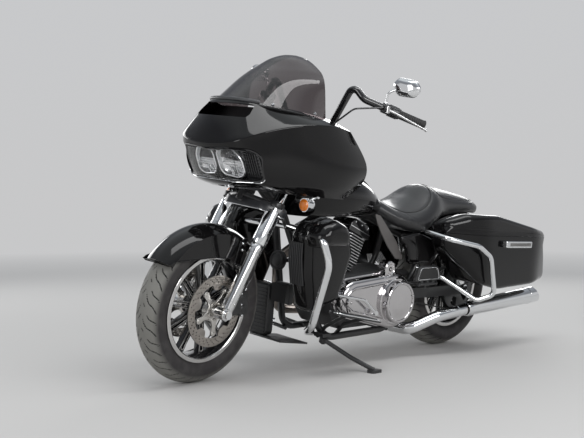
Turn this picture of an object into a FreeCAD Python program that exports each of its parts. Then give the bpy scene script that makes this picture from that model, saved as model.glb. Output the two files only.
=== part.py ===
import FreeCAD, Part
import math
import os

# Touring cruiser motorcycle, in millimetres. The machine is drawn upright and straight:
# X forward, Y to the rider's left, Z up, origin on the floor midway between the wheels.
# The last section turns the steering, leans everything on the side stand and writes the files.

V = FreeCAD.Vector

# Stance
wheelbase = 1625.0
axle_height = 320.0
lean_angle = 6.55
steering_turn = 6.35
rake_angle = 26.0
steering_axis_floor_x = 985.5
running_gap = 0.1
seat_gap = 0.3
outline_tolerance = 0.5

# Tyres and rims
tyre_radius = 320.0
front_tyre_width = 130.0
rear_tyre_width = 180.0
tyre_bulge = 5.0
front_lip_radius = 227.0
rear_lip_radius = 216.0
front_rim_half = 54.0
rear_rim_half = 70.0
rim_flange = 8.0
flange_height = 13.0
rim_wall = 10.0
spoke_pairs = 10
spoke_width = 25.0
spoke_slot = 8.0
spoke_phase = 0.69
axle_radius = 12.5
front_hub_half = 60.0
rear_hub_half = 72.0
hub_radius = 36.0
front_disc_y = 87.0
front_disc_radius = 150.0
disc_band = 38.0
disc_thickness = 5.0
rear_disc_y = 104.0
rear_disc_radius = 146.0
pulley_y = 105.0
pulley_radius = 118.0
pulley_width = 24.0
belt_width = 20.0

# Fork
leg_angle = 29.25
leg_offset = 20.0
leg_half_spacing = 130.0
slider_radius = 27.5
cover_radius = 33.0
fork_tube_radius = 24.5
slider_top_z = 596.0
cover_top_z = 732.0
upper_clamp_z = 942.0
lower_clamp_z = 758.0
clamp_thickness = 26.0
clamp_boss_radius = 36.0
lock_angles = (20.0, 25.0, 30.0, 35.0)
lock_relief = 2.0
lock_relief_height = 36.0
stem_radius = 15.0
neck_radius = 33.0
neck_bottom_z = 802.0
neck_top_z = 954.0

# Front fender
fender_radius = 352.0
fender_half = 80.0
fender_wall = 3.0
fender_skirt_radius = 288.0
fender_front_angle = 38.0
fender_rear_angle = 138.0

# Handlebar
bar_radius = 16.0
grip_radius = 19.5
grip_length = 125.0
bar_bends = (
    # x, y, z, bend radius
    (236.0, 95.0, 1048.0, 45.0),
    (232.0, 222.0, 1296.0, 42.0),
    (217.0, 275.0, 1240.0, 45.0),
    (2.0, 452.0, 1158.0, 0.0),
)

# Frame tubes
frame_tube_radius = 16.0
cradle_half = 128.0
cradle_z = 152.0
cradle_front_x = 196.0
cradle_rear_x = -250.0
backbone_radius = 26.0
backbone_z = 733.0

# Engine
crank_x = 50.0
crank_z = 325.0
cylinder_angle = 22.5
cylinder_base = 120.0
cylinder_top = 302.0
rocker_top = 368.0
barrel_radius = 52.0
fin_half_x = 74.0
fin_half_y = 70.0
fin_count = 13
fin_thickness = 4.0
clutch_x = -230.0
clutch_z = 300.0
clutch_radius = 138.0
clutch_cover_radius = 100.0
primary_front_radius = 94.0
primary_inner_y = 122.0
primary_outer_y = 192.0
clutch_cover_y = 226.0

# Fuel tank, in sections from front to rear
tank_sections = (
    # x, half width at the waist, half width at the bottom, bottom z, waist z, top z
    (392.0, 84.0, 56.0, 702.0, 800.0, 892.0),
    (300.0, 128.0, 96.0, 700.0, 795.0, 915.0),
    (90.0, 152.0, 118.0, 700.0, 790.0, 912.0),
    (-90.0, 128.0, 100.0, 702.0, 775.0, 860.0),
    (-215.0, 66.0, 52.0, 712.0, 742.0, 782.0),
)

# Seat, in sections from front to rear
seat_sections = (
    # x, half width at the widest, half width at the bottom, bottom z, widest z, top z
    (-170.0, 78.0, 60.0, 716.0, 742.0, 800.0),
    (-290.0, 158.0, 118.0, 662.0, 690.0, 744.0),
    (-420.0, 190.0, 140.0, 640.0, 676.0, 770.0),
    (-540.0, 165.0, 122.0, 668.0, 716.0, 826.0),
    (-650.0, 122.0, 104.0, 700.0, 742.0, 812.0),
    (-860.0, 112.0, 98.0, 722.0, 748.0, 786.0),
    (-985.0, 60.0, 52.0, 722.0, 734.0, 748.0),
)

# Rear fender
rear_fender_x = -845.0
rear_fender_z = 268.0
rear_fender_radius = 446.0
rear_fender_half = 108.0
rear_fender_depth = 92.0
rear_fender_wall = 3.0

# Saddlebags
bag_wall = 4.0
bag_inner_y = 205.0
lid_gap = 0.4
bag_outline = (
    # x, y of the outer face, corner radius, seen from above
    (-455.0, 285.0, 55.0),
    (-640.0, 378.0, 260.0),
    (-1100.0, 392.0, 300.0),
    (-1262.0, 345.0, 70.0),
)
bag_side = (
    # x, z, corner radius, seen from the side
    (-448.0, 634.0, 0.0),
    (-462.0, 560.0, 60.0),
    (-640.0, 388.0, 90.0),
    (-790.0, 354.0, 200.0),
    (-1268.0, 372.0, 30.0),
    (-1236.0, 500.0, 200.0),
    (-1190.0, 609.0, 0.0),
)
lid_side = (
    # x, z, corner radius, seen from the side, above the parting line
    (-448.0, 634.0, 0.0),
    (-455.0, 700.0, 40.0),
    (-560.0, 728.0, 120.0),
    (-760.0, 722.0, 200.0),
    (-1175.0, 640.0, 22.0),
    (-1190.0, 609.0, 0.0),
)

# Exhaust
muffler_y = 280.0
muffler_front = (-664.0, 246.0)
muffler_rear = (-1285.0, 282.0)
muffler_front_radius = 36.0
muffler_rear_radius = 44.0
muffler_wall = 3.0
header_radius = 24.0

# Guards
guard_radius = 16.0
bag_guard_radius = 12.5

# Side stand
stand_pivot = (222.0, 162.0, 156.0)
stand_foot_world = (116.0, 379.0)
stand_leg_radius = 10.0
stand_eye_radius = 18.0
stand_eye_height = 26.0
stand_bolt_radius = 7.0
stand_axis = (0.15, 0.37, 1.0)
stand_foot_length = 62.0
stand_foot_width = 44.0
stand_foot_height = 13.0

# Boards
board_length = 300.0
board_width = 100.0
board_tilt = 11.5
board_rear = (52.0, 305.0, 258.0)
passenger_hinge = (-395.0, 226.0, 382.0)
passenger_board_length = 200.0
passenger_board_height = 88.0
passenger_board_thickness = 20.0


# Working functions

def bent(points, closed=False):
    """A wire through (x, y, z, corner radius) points."""
    spots = [V(*p[:3]) for p in points]
    radii = [p[3] if len(p) > 3 else 0.0 for p in points]
    count = len(spots)
    corners = []
    for i, spot in enumerate(spots):
        radius = radii[i]
        if radius <= 0.0 or (not closed and i in (0, count - 1)):
            corners.append((spot, None, spot))
            continue
        back = (spots[i - 1] - spot).normalize()
        ahead = (spots[(i + 1) % count] - spot).normalize()
        half = back.getAngle(ahead) / 2.0
        reach = radius / math.tan(half)
        inward = (back + ahead).normalize()
        middle = spot + inward * (radius / math.sin(half) - radius)
        corners.append((spot + back * reach, middle, spot + ahead * reach))
    edges = []
    last = count if closed else count - 1
    for i, (entry, middle, leave) in enumerate(corners):
        if middle is not None:
            edges.append(Part.Arc(entry, middle, leave).toShape())
        if i < last:
            following = corners[(i + 1) % count][0]
            if leave.distanceToPoint(following) > 1e-6:
                edges.append(Part.LineSegment(leave, following).toShape())
    return Part.Wire(edges)


def solid_of(shape):
    """The shape as one clean solid."""
    if shape.ShapeType == "Solid":
        return shape
    if len(shape.Solids) == 1:
        return shape.Solids[0]
    return Part.Solid(shape.Shells[0])


def pipe(points, radius):
    """A round bar along a bent line."""
    path = bent(points)
    start = V(*points[0][:3])
    ring = Part.Wire([Part.makeCircle(radius, start, V(*points[1][:3]) - start)])
    return solid_of(path.makePipeShell([ring], True, False))


def slab(axis, points, low, high):
    """A rounded outline of (u, v, radius) points drawn out along one axis."""
    place = {"x": lambda u, v, s: (s, u, v),
             "y": lambda u, v, s: (u, s, v),
             "z": lambda u, v, s: (u, v, s)}[axis]
    rounded = [place(p[0], p[1], low) + ((p[2],) if len(p) > 2 else ()) for p in points]
    way = V(*place(0.0, 0.0, high - low))
    return Part.Face(bent(rounded, True)).extrude(way)


def box(x0, x1, y0, y1, z0, z1):
    return Part.makeBox(x1 - x0, y1 - y0, z1 - z0, V(x0, y0, z0))


def rod(start, end, radius):
    a = V(*start)
    b = V(*end)
    return Part.makeCylinder(radius, a.distanceToPoint(b), a, b - a)


def cone(start, end, radius0, radius1):
    a = V(*start)
    b = V(*end)
    return Part.makeCone(radius0, radius1, a.distanceToPoint(b), a, b - a)


def join(*shapes):
    return shapes[0].multiFuse(list(shapes[1:])).removeSplitter()


def trim(shape, *cutters):
    """The shape with its neighbours cut out of it; the largest solid that is left."""
    left = shape.cut(list(cutters))
    return max(left.Solids, key=lambda s: s.Volume)


def mirrored(shape):
    return shape.mirror(V(0, 0, 0), V(0, 1, 0))


def pair(shape):
    return Part.makeCompound([shape, mirrored(shape)])


def turned(shape, centre, axis, angle):
    copy = shape.copy()
    copy.rotate(V(*centre), V(*axis), angle)
    return copy


def body_section(x, half, low_half, low_z, waist_z, top_z):
    """A closed cross-section with an arched top, bowed sides and a flat bottom."""
    bow = (half - low_half) * 0.25 + 2.0
    middle = ((half + low_half) / 2.0 + bow, (waist_z + low_z) / 2.0)
    top = Part.Arc(V(x, -half, waist_z), V(x, 0, top_z), V(x, half, waist_z)).toShape()
    left = Part.Arc(V(x, half, waist_z), V(x, middle[0], middle[1]), V(x, low_half, low_z)).toShape()
    bottom = Part.LineSegment(V(x, low_half, low_z), V(x, -low_half, low_z)).toShape()
    right = Part.Arc(V(x, -low_half, low_z), V(x, -middle[0], middle[1]), V(x, -half, waist_z)).toShape()
    return Part.Wire([top, left, bottom, right])


def leg_x(z):
    """Where the fork legs stand at a height."""
    axle_x = wheelbase / 2.0
    return axle_x - leg_offset - math.tan(math.radians(leg_angle)) * (z - axle_height)


def steering_x(z):
    """Where the steering axis stands at a height."""
    return steering_axis_floor_x - math.tan(math.radians(rake_angle)) * z


def tangent_outline(xa, za, ra, xb, zb, rb, y):
    """The closed outline round two circles, in the plane at y."""
    span = math.hypot(xb - xa, zb - za)
    heading = math.atan2(zb - za, xb - xa)
    lift = math.acos((ra - rb) / span)
    spots = []
    for side in (1.0, -1.0):
        angle = heading + side * lift
        spots.append((V(xa + ra * math.cos(angle), y, za + ra * math.sin(angle)),
                      V(xb + rb * math.cos(angle), y, zb + rb * math.sin(angle))))
    far_a = V(xa - ra * math.cos(heading), y, za - ra * math.sin(heading))
    far_b = V(xb + rb * math.cos(heading), y, zb + rb * math.sin(heading))
    return Part.Wire([
        Part.LineSegment(spots[0][0], spots[0][1]).toShape(),
        Part.Arc(spots[0][1], far_b, spots[1][1]).toShape(),
        Part.LineSegment(spots[1][1], spots[1][0]).toShape(),
        Part.Arc(spots[1][0], far_a, spots[0][0]).toShape(),
    ])


fixed = {}
steered = {}
front_x = wheelbase / 2.0
rear_x = -wheelbase / 2.0


# Wheels: cast rims with split spokes, tyres, discs and the belt pulley

def revolve_y(points, x):
    """A closed outline of (y, r, corner radius) points turned round a wheel's axle."""
    spots = [(x, p[0], axle_height + p[1]) + ((p[2],) if len(p) > 2 else ()) for p in points]
    face = Part.Face(bent(spots, True))
    return face.revolve(V(x, 0, axle_height), V(0, 1, 0), 360.0)


def wheel_rim(x, lip_radius, half, hub_half):
    bead = lip_radius - flange_height
    inner = bead - rim_wall
    flange = half - rim_flange
    barrel = revolve_y(((-half, inner), (-half, lip_radius), (-flange, lip_radius), (-flange, bead),
                        (flange, bead), (flange, lip_radius), (half, lip_radius), (half, inner)), x)
    hub = rod((x, -hub_half, axle_height), (x, hub_half, axle_height), hub_radius)
    reach = inner + 3.0
    pieces = [barrel, hub]
    for i in range(spoke_pairs):
        bar = slab("y", ((hub_radius - 6.0, -17.0), (hub_radius + 20.0, -15.0), (reach, -spoke_width / 2.0),
                         (reach, spoke_width / 2.0), (hub_radius + 20.0, 15.0), (hub_radius - 6.0, 17.0)),
                   -16.0, 16.0)
        slot = slab("y", ((hub_radius + 42.0, 0.0), (inner - 26.0, -spoke_slot / 2.0),
                          (inner - 26.0, spoke_slot / 2.0)), -20.0, 20.0)
        bar = bar.cut(slot)
        bar.translate(V(x, 0, axle_height))
        pieces.append(turned(bar, (x, 0, axle_height), (0, 1, 0), 360.0 / spoke_pairs * (i + spoke_phase)))
    wheel = join(*pieces)
    bore = rod((x, -hub_half - 1, axle_height), (x, hub_half + 1, axle_height), axle_radius + running_gap)
    return wheel.cut(bore)


def tyre(x, width, lip_radius, half):
    bead = lip_radius - flange_height
    flange = half - rim_flange
    shoulder = 0.43 * width
    rise = 0.20 * width
    wide = width / 2.0 - tyre_bulge
    belly = (lip_radius + tyre_radius) / 2.0 + 4.0
    crown = Part.Arc(V(x, -shoulder, axle_height + tyre_radius - rise), V(x, 0, axle_height + tyre_radius),
                     V(x, shoulder, axle_height + tyre_radius - rise)).toShape()
    right = [V(x, shoulder, axle_height + tyre_radius - rise), V(x, wide, axle_height + belly),
             V(x, flange + 4.0, axle_height + lip_radius + 3.0)]
    left = [V(x, -p.y, p.z) for p in reversed(right)]
    foot = [V(x, flange, axle_height + lip_radius), V(x, flange, axle_height + bead),
            V(x, -flange, axle_height + bead), V(x, -flange, axle_height + lip_radius)]
    edges = [crown, Part.Arc(*right).toShape()]
    line = [right[2]] + foot + [left[0]]
    edges += [Part.LineSegment(line[i], line[i + 1]).toShape() for i in range(len(line) - 1)]
    edges.append(Part.Arc(*left).toShape())
    return Part.Face(Part.Wire(edges)).revolve(V(x, 0, axle_height), V(0, 1, 0), 360.0)


def brake_disc(x, y, radius, hub_y, side):
    """A disc ring on a five-arm carrier that is bolted to the hub's end."""
    ring = rod((x, y - disc_thickness / 2.0, axle_height), (x, y + disc_thickness / 2.0, axle_height),
               radius)
    hole = rod((x, y - 20.0, axle_height), (x, y + 20.0, axle_height), radius - disc_band)
    ring = ring.cut(hole)
    flange = rod((x, hub_y, axle_height), (x, y + side * 3.0, axle_height), hub_radius + 8.0)
    pieces = [ring, flange]
    for i in range(5):
        arm = slab("y", ((20.0, -13.0), (radius - disc_band + 6.0, -9.0), (radius - disc_band + 6.0, 9.0),
                         (20.0, 13.0)), y - 3.5, y + 3.5)
        arm.translate(V(x, 0, axle_height))
        pieces.append(turned(arm, (x, 0, axle_height), (0, 1, 0), 72.0 * i + 20.0))
    bore = rod((x, hub_y - side, axle_height), (x, y + side * 10.0, axle_height), axle_radius + running_gap)
    return join(*pieces).cut(bore)


front_rim = wheel_rim(front_x, front_lip_radius, front_rim_half, front_hub_half)
steered["front_rim"] = front_rim
steered["front_tyre"] = tyre(front_x, front_tyre_width, front_lip_radius, front_rim_half)
front_disc = brake_disc(front_x, front_disc_y, front_disc_radius, front_hub_half, 1.0)
steered["front_discs"] = pair(front_disc)
fixed["rear_rim"] = wheel_rim(rear_x, rear_lip_radius, rear_rim_half, rear_hub_half)
fixed["rear_tyre"] = tyre(rear_x, rear_tyre_width, rear_lip_radius, rear_rim_half)
rear_disc = brake_disc(rear_x, -rear_disc_y, rear_disc_radius, -rear_hub_half, -1.0)
pulley_inner = rod((rear_x, rear_hub_half, axle_height), (rear_x, pulley_y, axle_height), hub_radius + 8.0)
pulley_ring = rod((rear_x, pulley_y - pulley_width / 2.0, axle_height),
                  (rear_x, pulley_y + pulley_width / 2.0, axle_height), pulley_radius)
pulley_bore = rod((rear_x, 0, axle_height), (rear_x, pulley_y + 40.0, axle_height),
                  axle_radius + running_gap)
fixed["rear_disc_and_pulley"] = Part.makeCompound([rear_disc,
                                                   join(pulley_inner, pulley_ring).cut(pulley_bore)])


# Fork: polished lower sliders, chrome covers, dark skirt, clamps and stem

def on_leg(z, y):
    return (leg_x(z), y, z)


axle_boss_radius = 26.0
axle_end_y = leg_half_spacing + slider_radius + 8.0


def fork_slider(side):
    y = side * leg_half_spacing
    leg = rod(on_leg(axle_height - 6.0, y), on_leg(slider_top_z, y), slider_radius)
    boss = rod((front_x, side * (leg_half_spacing - 24.0), axle_height),
               (front_x, side * (leg_half_spacing + slider_radius + 2.0), axle_height), axle_boss_radius)
    lug = rod((leg_x(500.0) + 14.0, side * (leg_half_spacing - 4.0), 502.0),
              (leg_x(500.0) + 14.0, side * (fender_half + 8.0 + seat_gap), 502.0), 12.0)
    hole = rod((front_x, 0, axle_height), (front_x, side * 400.0, axle_height), axle_radius + running_gap)
    return join(leg, boss, lug).cut(hole)


steered["fork_sliders"] = pair(fork_slider(1.0))
cover_rod = rod(on_leg(slider_top_z + seat_gap, leg_half_spacing), on_leg(cover_top_z, leg_half_spacing),
                cover_radius)
steered["fork_covers"] = pair(cover_rod)

front_axle = rod((front_x, -axle_end_y, axle_height), (front_x, axle_end_y, axle_height), axle_radius)
axle_nut = rod((front_x, axle_end_y - 6.0, axle_height), (front_x, axle_end_y + 6.0, axle_height), 17.0)
axle_head = rod((front_x, -axle_end_y - 6.0, axle_height), (front_x, -axle_end_y + 6.0, axle_height), 17.0)
steered["front_axle"] = join(front_axle, axle_nut, axle_head)


def stem_point(z):
    """Where a clamp that holds the legs at this height meets the steering axis."""
    reach = (steering_x(z) - leg_x(z)) * math.cos(math.radians(rake_angle))
    return (leg_x(z) + reach * math.cos(math.radians(rake_angle)),
            z + reach * math.sin(math.radians(rake_angle)))


def clamp(z, thickness):
    """A triple clamp: a web from the stem's boss back to a boss round each leg."""
    reach = (steering_x(z) - leg_x(z)) * math.cos(math.radians(rake_angle))
    low = -thickness / 2.0
    high = thickness / 2.0
    web = slab("z", ((reach + 30.0, -26.0, 10.0), (reach + 30.0, 26.0, 10.0),
                     (20.0, leg_half_spacing + 10.0, 10.0),
                     (-16.0, leg_half_spacing, 10.0), (8.0, 0.0, 60.0), (-16.0, -leg_half_spacing, 10.0),
                     (20.0, -leg_half_spacing - 10.0, 10.0)), low, high)
    bosses = [Part.makeCylinder(clamp_boss_radius, thickness, V(x, y, low))
              for x, y in ((0.0, leg_half_spacing), (0.0, -leg_half_spacing), (reach, 0.0))]
    plate = turned(join(web, *bosses), (0, 0, 0), (0, 1, 0), -rake_angle)
    plate.translate(V(leg_x(z), 0, z))
    return plate


lower_clamp = clamp(lower_clamp_z, clamp_thickness)
upper_clamp = clamp(upper_clamp_z, clamp_thickness)
stem_low = stem_point(lower_clamp_z)
stem_high = stem_point(upper_clamp_z)
stem = rod((stem_low[0], 0, stem_low[1]), (stem_high[0], 0, stem_high[1]), stem_radius)
tubes = [rod(on_leg(cover_top_z + seat_gap, s * leg_half_spacing),
             on_leg(upper_clamp_z + 20.0, s * leg_half_spacing),
             fork_tube_radius) for s in (1.0, -1.0)]
riser = pipe(((leg_x(upper_clamp_z) + 22.0, 0, upper_clamp_z + 10.0),
              (leg_x(upper_clamp_z) - 60.0, 0, 1030.0, 60.0),
              (bar_bends[0][0], 0, bar_bends[0][2])), 24.0)
fork_yoke = join(lower_clamp, upper_clamp, stem, *tubes)

# The skirt hides the lower clamp: a wide band, rounded at the front, open inside
skirt_low = slab("z", ((56.0, -106.0, 66.0), (56.0, 106.0, 66.0), (-6.0, 170.0, 36.0), (-40.0, 170.0, 10.0),
                       (-40.0, 146.0, 4.0), (20.0, 60.0, 30.0), (20.0, -60.0, 30.0), (-40.0, -146.0, 4.0),
                       (-40.0, -170.0, 10.0), (-6.0, -170.0, 36.0)), -48.0, -1.0)
skirt_hollow = slab("z", ((52.0, -104.0, 62.0), (52.0, 104.0, 62.0), (-6.0, 165.0, 32.0),
                          (-60.0, 166.0, 4.0),
                          (-60.0, -166.0, 4.0), (-6.0, -165.0, 32.0)), -66.0, -5.0)
skirt = skirt_low.cut(skirt_hollow)
skirt.translate(V(leg_x(lower_clamp_z), 0, lower_clamp_z))
skirt = turned(skirt, (leg_x(lower_clamp_z), 0, lower_clamp_z), (0, 1, 0), -rake_angle)
fork_yoke = trim(join(fork_yoke, skirt), cover_rod, mirrored(cover_rod))
steered["fork_yoke"] = fork_yoke


# Front fender: a deep wrap-round blade with side skirts

def fender_profile(radius, half, skirt_radius):
    x = front_x
    crown = Part.Arc(V(x, -half, axle_height + radius - 34.0), V(x, 0, axle_height + radius),
                     V(x, half, axle_height + radius - 34.0)).toShape()
    a = V(x, half, axle_height + radius - 34.0)
    b = V(x, half, axle_height + skirt_radius)
    c = V(x, -half, axle_height + skirt_radius)
    d = V(x, -half, axle_height + radius - 34.0)
    lines = [Part.LineSegment(p, q).toShape() for p, q in ((a, b), (b, c), (c, d))]
    return Part.Face(Part.Wire([crown] + lines))


outer_fender = fender_profile(fender_radius, fender_half, fender_skirt_radius)
inner_fender = fender_profile(fender_radius - fender_wall, fender_half - fender_wall,
                              fender_skirt_radius - 20.0)
fender_face = outer_fender.cut(inner_fender)
fender_sweep = fender_rear_angle - fender_front_angle
front_fender = fender_face.revolve(V(front_x, 0, axle_height), V(0, -1, 0), fender_sweep)
front_fender = turned(front_fender, (front_x, 0, axle_height), (0, 1, 0), 90.0 - fender_front_angle)
bracket = slab("y", ((leg_x(500.0) + 6.0, 486.0, 6.0), (leg_x(500.0) + 44.0, 486.0, 6.0),
                     (leg_x(640.0) + 80.0, 600.0, 6.0), (leg_x(640.0) + 34.0, 622.0, 6.0)),
               fender_half + 0.5, fender_half + 8.0)
front_fender = solid_of(front_fender)
bracket = join(bracket, rod((leg_x(600.0) + 48.0, fender_half - 1.5, 600.0),
                            (leg_x(600.0) + 48.0, fender_half + 4.0, 600.0), 8.0))
steered["front_fender"] = join(front_fender, bracket, mirrored(bracket))


# Front calipers, straddling the discs behind the legs

def caliper(x, y, z, angle, disc_y, radius):
    block = slab("y", ((-58.0, -26.0, 16.0), (58.0, -26.0, 16.0), (50.0, 26.0, 14.0), (-50.0, 26.0, 14.0)),
                 disc_y - 24.0, disc_y + 26.0)
    block = turned(block, (0, 0, 0), (0, 1, 0), angle)
    block.translate(V(x, 0, z))
    axle_x = front_x if x > 0 else rear_x
    slot = rod((axle_x, disc_y - disc_thickness / 2.0 - 3.0, axle_height),
               (axle_x, disc_y + disc_thickness / 2.0 + 3.0, axle_height), radius + 6.0)
    return block.cut(slot)


front_caliper = caliper(front_x - 146.0, 0.0, axle_height + 24.0, -80.0, front_disc_y, front_disc_radius)
slider_keepout = pipe((on_leg(axle_height - 60.0, leg_half_spacing),
                       on_leg(slider_top_z, leg_half_spacing)),
                      slider_radius + seat_gap)
caliper_lug = slab("y", ((front_x - 132.0, 300.0, 8.0), (front_x - 52.0, 292.0, 8.0),
                         (front_x - 62.0, 390.0, 8.0),
                         (front_x - 132.0, 380.0, 8.0)), front_disc_y + 18.0, front_disc_y + 28.0)
steered["front_calipers"] = pair(trim(join(front_caliper, caliper_lug), slider_keepout))


# Handlebar with its controls, grips, mirrors and cables

half_bar = pipe(((bar_bends[0][0], 0.0, bar_bends[0][2]),) + bar_bends, bar_radius)
handlebar = join(half_bar, mirrored(half_bar), riser)
steered["handlebar"] = trim(handlebar, fork_yoke)

bar_end = V(*bar_bends[3][:3])
bar_turn = V(*bar_bends[2][:3])
outward = (bar_end - bar_turn).normalize()


def along_bar(distance, drop=0.0, ahead=0.0):
    """A point on the outer straight of the left bar, measured back from its end."""
    side = V(outward.y, -outward.x, 0).normalize()
    return bar_end - outward * distance + V(0, 0, -drop) + side * ahead


def sleeve(near, far, radius, bore):
    start = along_bar(near)
    end = along_bar(far)
    outer = Part.makeCylinder(radius, near - far, start, end - start)
    inner = Part.makeCylinder(bore, near - far + 2.0, start - outward * 1.0, end - start)
    return outer.cut(inner)


bar_fit = bar_radius + running_gap
grip = join(sleeve(grip_length, -1.0, grip_radius, bar_fit),
            Part.makeCylinder(grip_radius, 7.0, bar_end + outward * 0.2, outward))
steered["grips"] = pair(grip)
switch_box = sleeve(grip_length + 48.0, grip_length + 1.0, 27.0, bar_fit)
clamp_ring = sleeve(grip_length + 78.0, grip_length + 50.0, 23.0, bar_fit)
lever_root = along_bar(grip_length + 60.0, 4.0, 26.0)
lever_tip = along_bar(6.0, 22.0, 62.0)
lever_knee = along_bar(grip_length - 10.0, 10.0, 52.0)
lever = pipe(((lever_root.x, lever_root.y, lever_root.z), (lever_knee.x, lever_knee.y, lever_knee.z, 30.0),
              (lever_tip.x, lever_tip.y, lever_tip.z)), 6.0)
perch = Part.makeCylinder(15.0, 34.0, along_bar(grip_length + 78.0, 2.0, 28.0), outward)
controls = trim(join(clamp_ring, switch_box, perch, lever), pipe(bar_bends, bar_fit), grip)

mirror_root = along_bar(grip_length + 64.0, -22.0, 6.0)
mirror_head = V(128.0, 428.0, 1306.0)
mirror_stalk = pipe(((mirror_root.x, mirror_root.y, mirror_root.z), (150.0, 352.0, 1282.0, 30.0),
                     (mirror_head.x + 6.0, mirror_head.y - 20.0, mirror_head.z)), 5.0)
mirror_shell = slab("x", ((-68.0, 14.0, 20.0), (-40.0, 42.0, 24.0), (40.0, 34.0, 26.0), (66.0, 0.0, 20.0),
                          (40.0, -36.0, 24.0), (-44.0, -34.0, 24.0)), -12.0, 14.0)
mirror_shell = turned(mirror_shell, (0, 0, 0), (0, 0, 1), 8.0)
mirror_shell.translate(mirror_head)
steered["mirrors"] = pair(trim(join(mirror_stalk, mirror_shell), controls))

cable_start = along_bar(grip_length + 80.0, 2.0, 28.0)
cable = pipe(((cable_start.x, cable_start.y, cable_start.z), (262.0, 262.0, 1196.0, 40.0),
              (290.0, 150.0, 1096.0, 50.0), (420.0, 66.0, 966.0)), 4.0)
steered["hand_controls"] = pair(join(controls, trim(cable, half_bar, riser, fork_yoke, controls)))


# Frame: steering neck, backbone, twin cradle tubes and rear rails

neck = rod((steering_x(neck_bottom_z), 0, neck_bottom_z), (steering_x(neck_top_z), 0, neck_top_z),
           neck_radius)
neck_bore = rod((steering_x(neck_bottom_z - 5.0), 0, neck_bottom_z - 5.0),
                (steering_x(neck_top_z + 5.0), 0, neck_top_z + 5.0), stem_radius + running_gap)
cradle_path = ((steering_x(850.0) - 20.0, 10.0, 850.0), (400.0, 24.0, 716.0, 60.0),
               (cradle_front_x, cradle_half, cradle_z, 100.0),
               (cradle_rear_x, cradle_half, cradle_z + 6.0, 110.0),
               (-432.0, cradle_half + 6.0, 470.0, 80.0), (-440.0, 108.0, 628.0))
cradle = pipe(cradle_path, frame_tube_radius)
cradle_room = pipe(cradle_path, frame_tube_radius + seat_gap)
backbone_path = ((steering_x(880.0) - 14.0, 0, 880.0), (430.0, 0, 770.0, 90.0),
                 (60.0, 0, backbone_z, 200.0),
                 (-200.0, 0, 690.0, 90.0), (-440.0, 0, 600.0))
backbone = pipe(backbone_path, backbone_radius)
rear_rail = pipe(((-440.0, 108.0, 612.0), (-560.0, 108.0, 652.0, 80.0), (-900.0, 122.0, 652.0)), 11.0)
cross_bars = [rod((-440.0, -108.0, 600.0), (-440.0, 108.0, 600.0), 14.0),
              rod((-420.0, -118.0, 311.0), (-420.0, 118.0, 311.0), 12.0),
              rod((-420.0, 114.0, 311.0), (-340.0, 131.0, 311.0), 12.0),
              rod((-420.0, -114.0, 311.0), (-340.0, -131.0, 311.0), 12.0),
              rod((cradle_front_x - 40.0, -cradle_half, cradle_z),
                  (cradle_front_x - 40.0, cradle_half, cradle_z), 12.0),
              rod((cradle_rear_x, -cradle_half, cradle_z + 5.0),
                  (cradle_rear_x, cradle_half, cradle_z + 5.0), 12.0)]
hip = V(*stand_pivot)
stand_way = V(*stand_axis).normalize()
stand_lug = box(hip.x - 30.0, hip.x + 22.0, cradle_half - 6.0, hip.y + 16.0, hip.z + 12.0, hip.z + 28.0)
eye_end = stand_eye_height / 2.0 + seat_gap
eye_room = Part.makeCylinder(stand_eye_radius + 1.0, 2.0 * eye_end, hip - stand_way * eye_end, stand_way)
stand_lug = stand_lug.cut(eye_room)
stand_bolt = [Part.makeCylinder(stand_bolt_radius, 38.0, hip - stand_way * 18.0, stand_way),
              Part.makeCylinder(stand_bolt_radius + 4.0, 6.0, hip - stand_way * (eye_end + 6.0), stand_way)]
bag_arms = [pipe(((x, side * 112.0, 650.0), (x, side * 168.0, 592.0, 24.0),
                  (x, side * (bag_inner_y - seat_gap), 592.0)),
                 9.0)
            for x in (-540.0, -880.0) for side in (1.0, -1.0)]
px, py, pz = passenger_hinge
step_parts = []
for side in (1.0, -1.0):
    step_parts.append(rod((-381.0, side * (cradle_half + 4.0), pz), (-381.0, side * 152.0, pz), 12.0))
    step_parts.append(rod((px - 72.0, side * 152.0, pz), (px + 72.0, side * 152.0, pz), 8.0))
    for end in (1.0, -1.0):
        step_parts.append(rod((px + end * 66.0, side * 152.0, pz), (px + end * 66.0, side * (py + 8.0), pz),
                              6.0))
        step_parts.append(rod((px + end * 60.3, side * (py + 8.0), pz),
                              (px + end * 72.0, side * (py + 8.0), pz), 11.0))
lamp_back_x = 650.0
fairing_mount = [rod((steering_x(886.0) + 10.0, 0, 886.0), (lamp_back_x - 6.0, 0, 906.0), 17.0),
                 box(lamp_back_x - 10.0, lamp_back_x - seat_gap, -110.0, 110.0, 880.0, 950.0)]
frame = join(*fairing_mount, neck, cradle, mirrored(cradle), backbone, rear_rail, mirrored(rear_rail),
             stand_lug,
             *stand_bolt, *cross_bars, *bag_arms, *step_parts)
fixed["frame"] = frame.cut(neck_bore)


# Engine: cases, two finned cylinders in a narrow V, rocker covers and side covers

cases = slab("y", ((150.0, 250.0, 40.0), (150.0, 400.0, 50.0), (70.0, 432.0, 40.0), (-60.0, 432.0, 30.0),
                   (-150.0, 440.0, 30.0), (-400.0, 430.0, 40.0), (-405.0, 210.0, 40.0),
                   (-300.0, 182.0, 20.0),
                   (100.0, 182.0, 50.0)), -104.0, primary_inner_y - seat_gap)


def on_cylinder(lean_deg, shape):
    copy = turned(shape, (0, 0, 0), (0, 1, 0), lean_deg)
    copy.translate(V(crank_x, 0, crank_z))
    return copy


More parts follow.
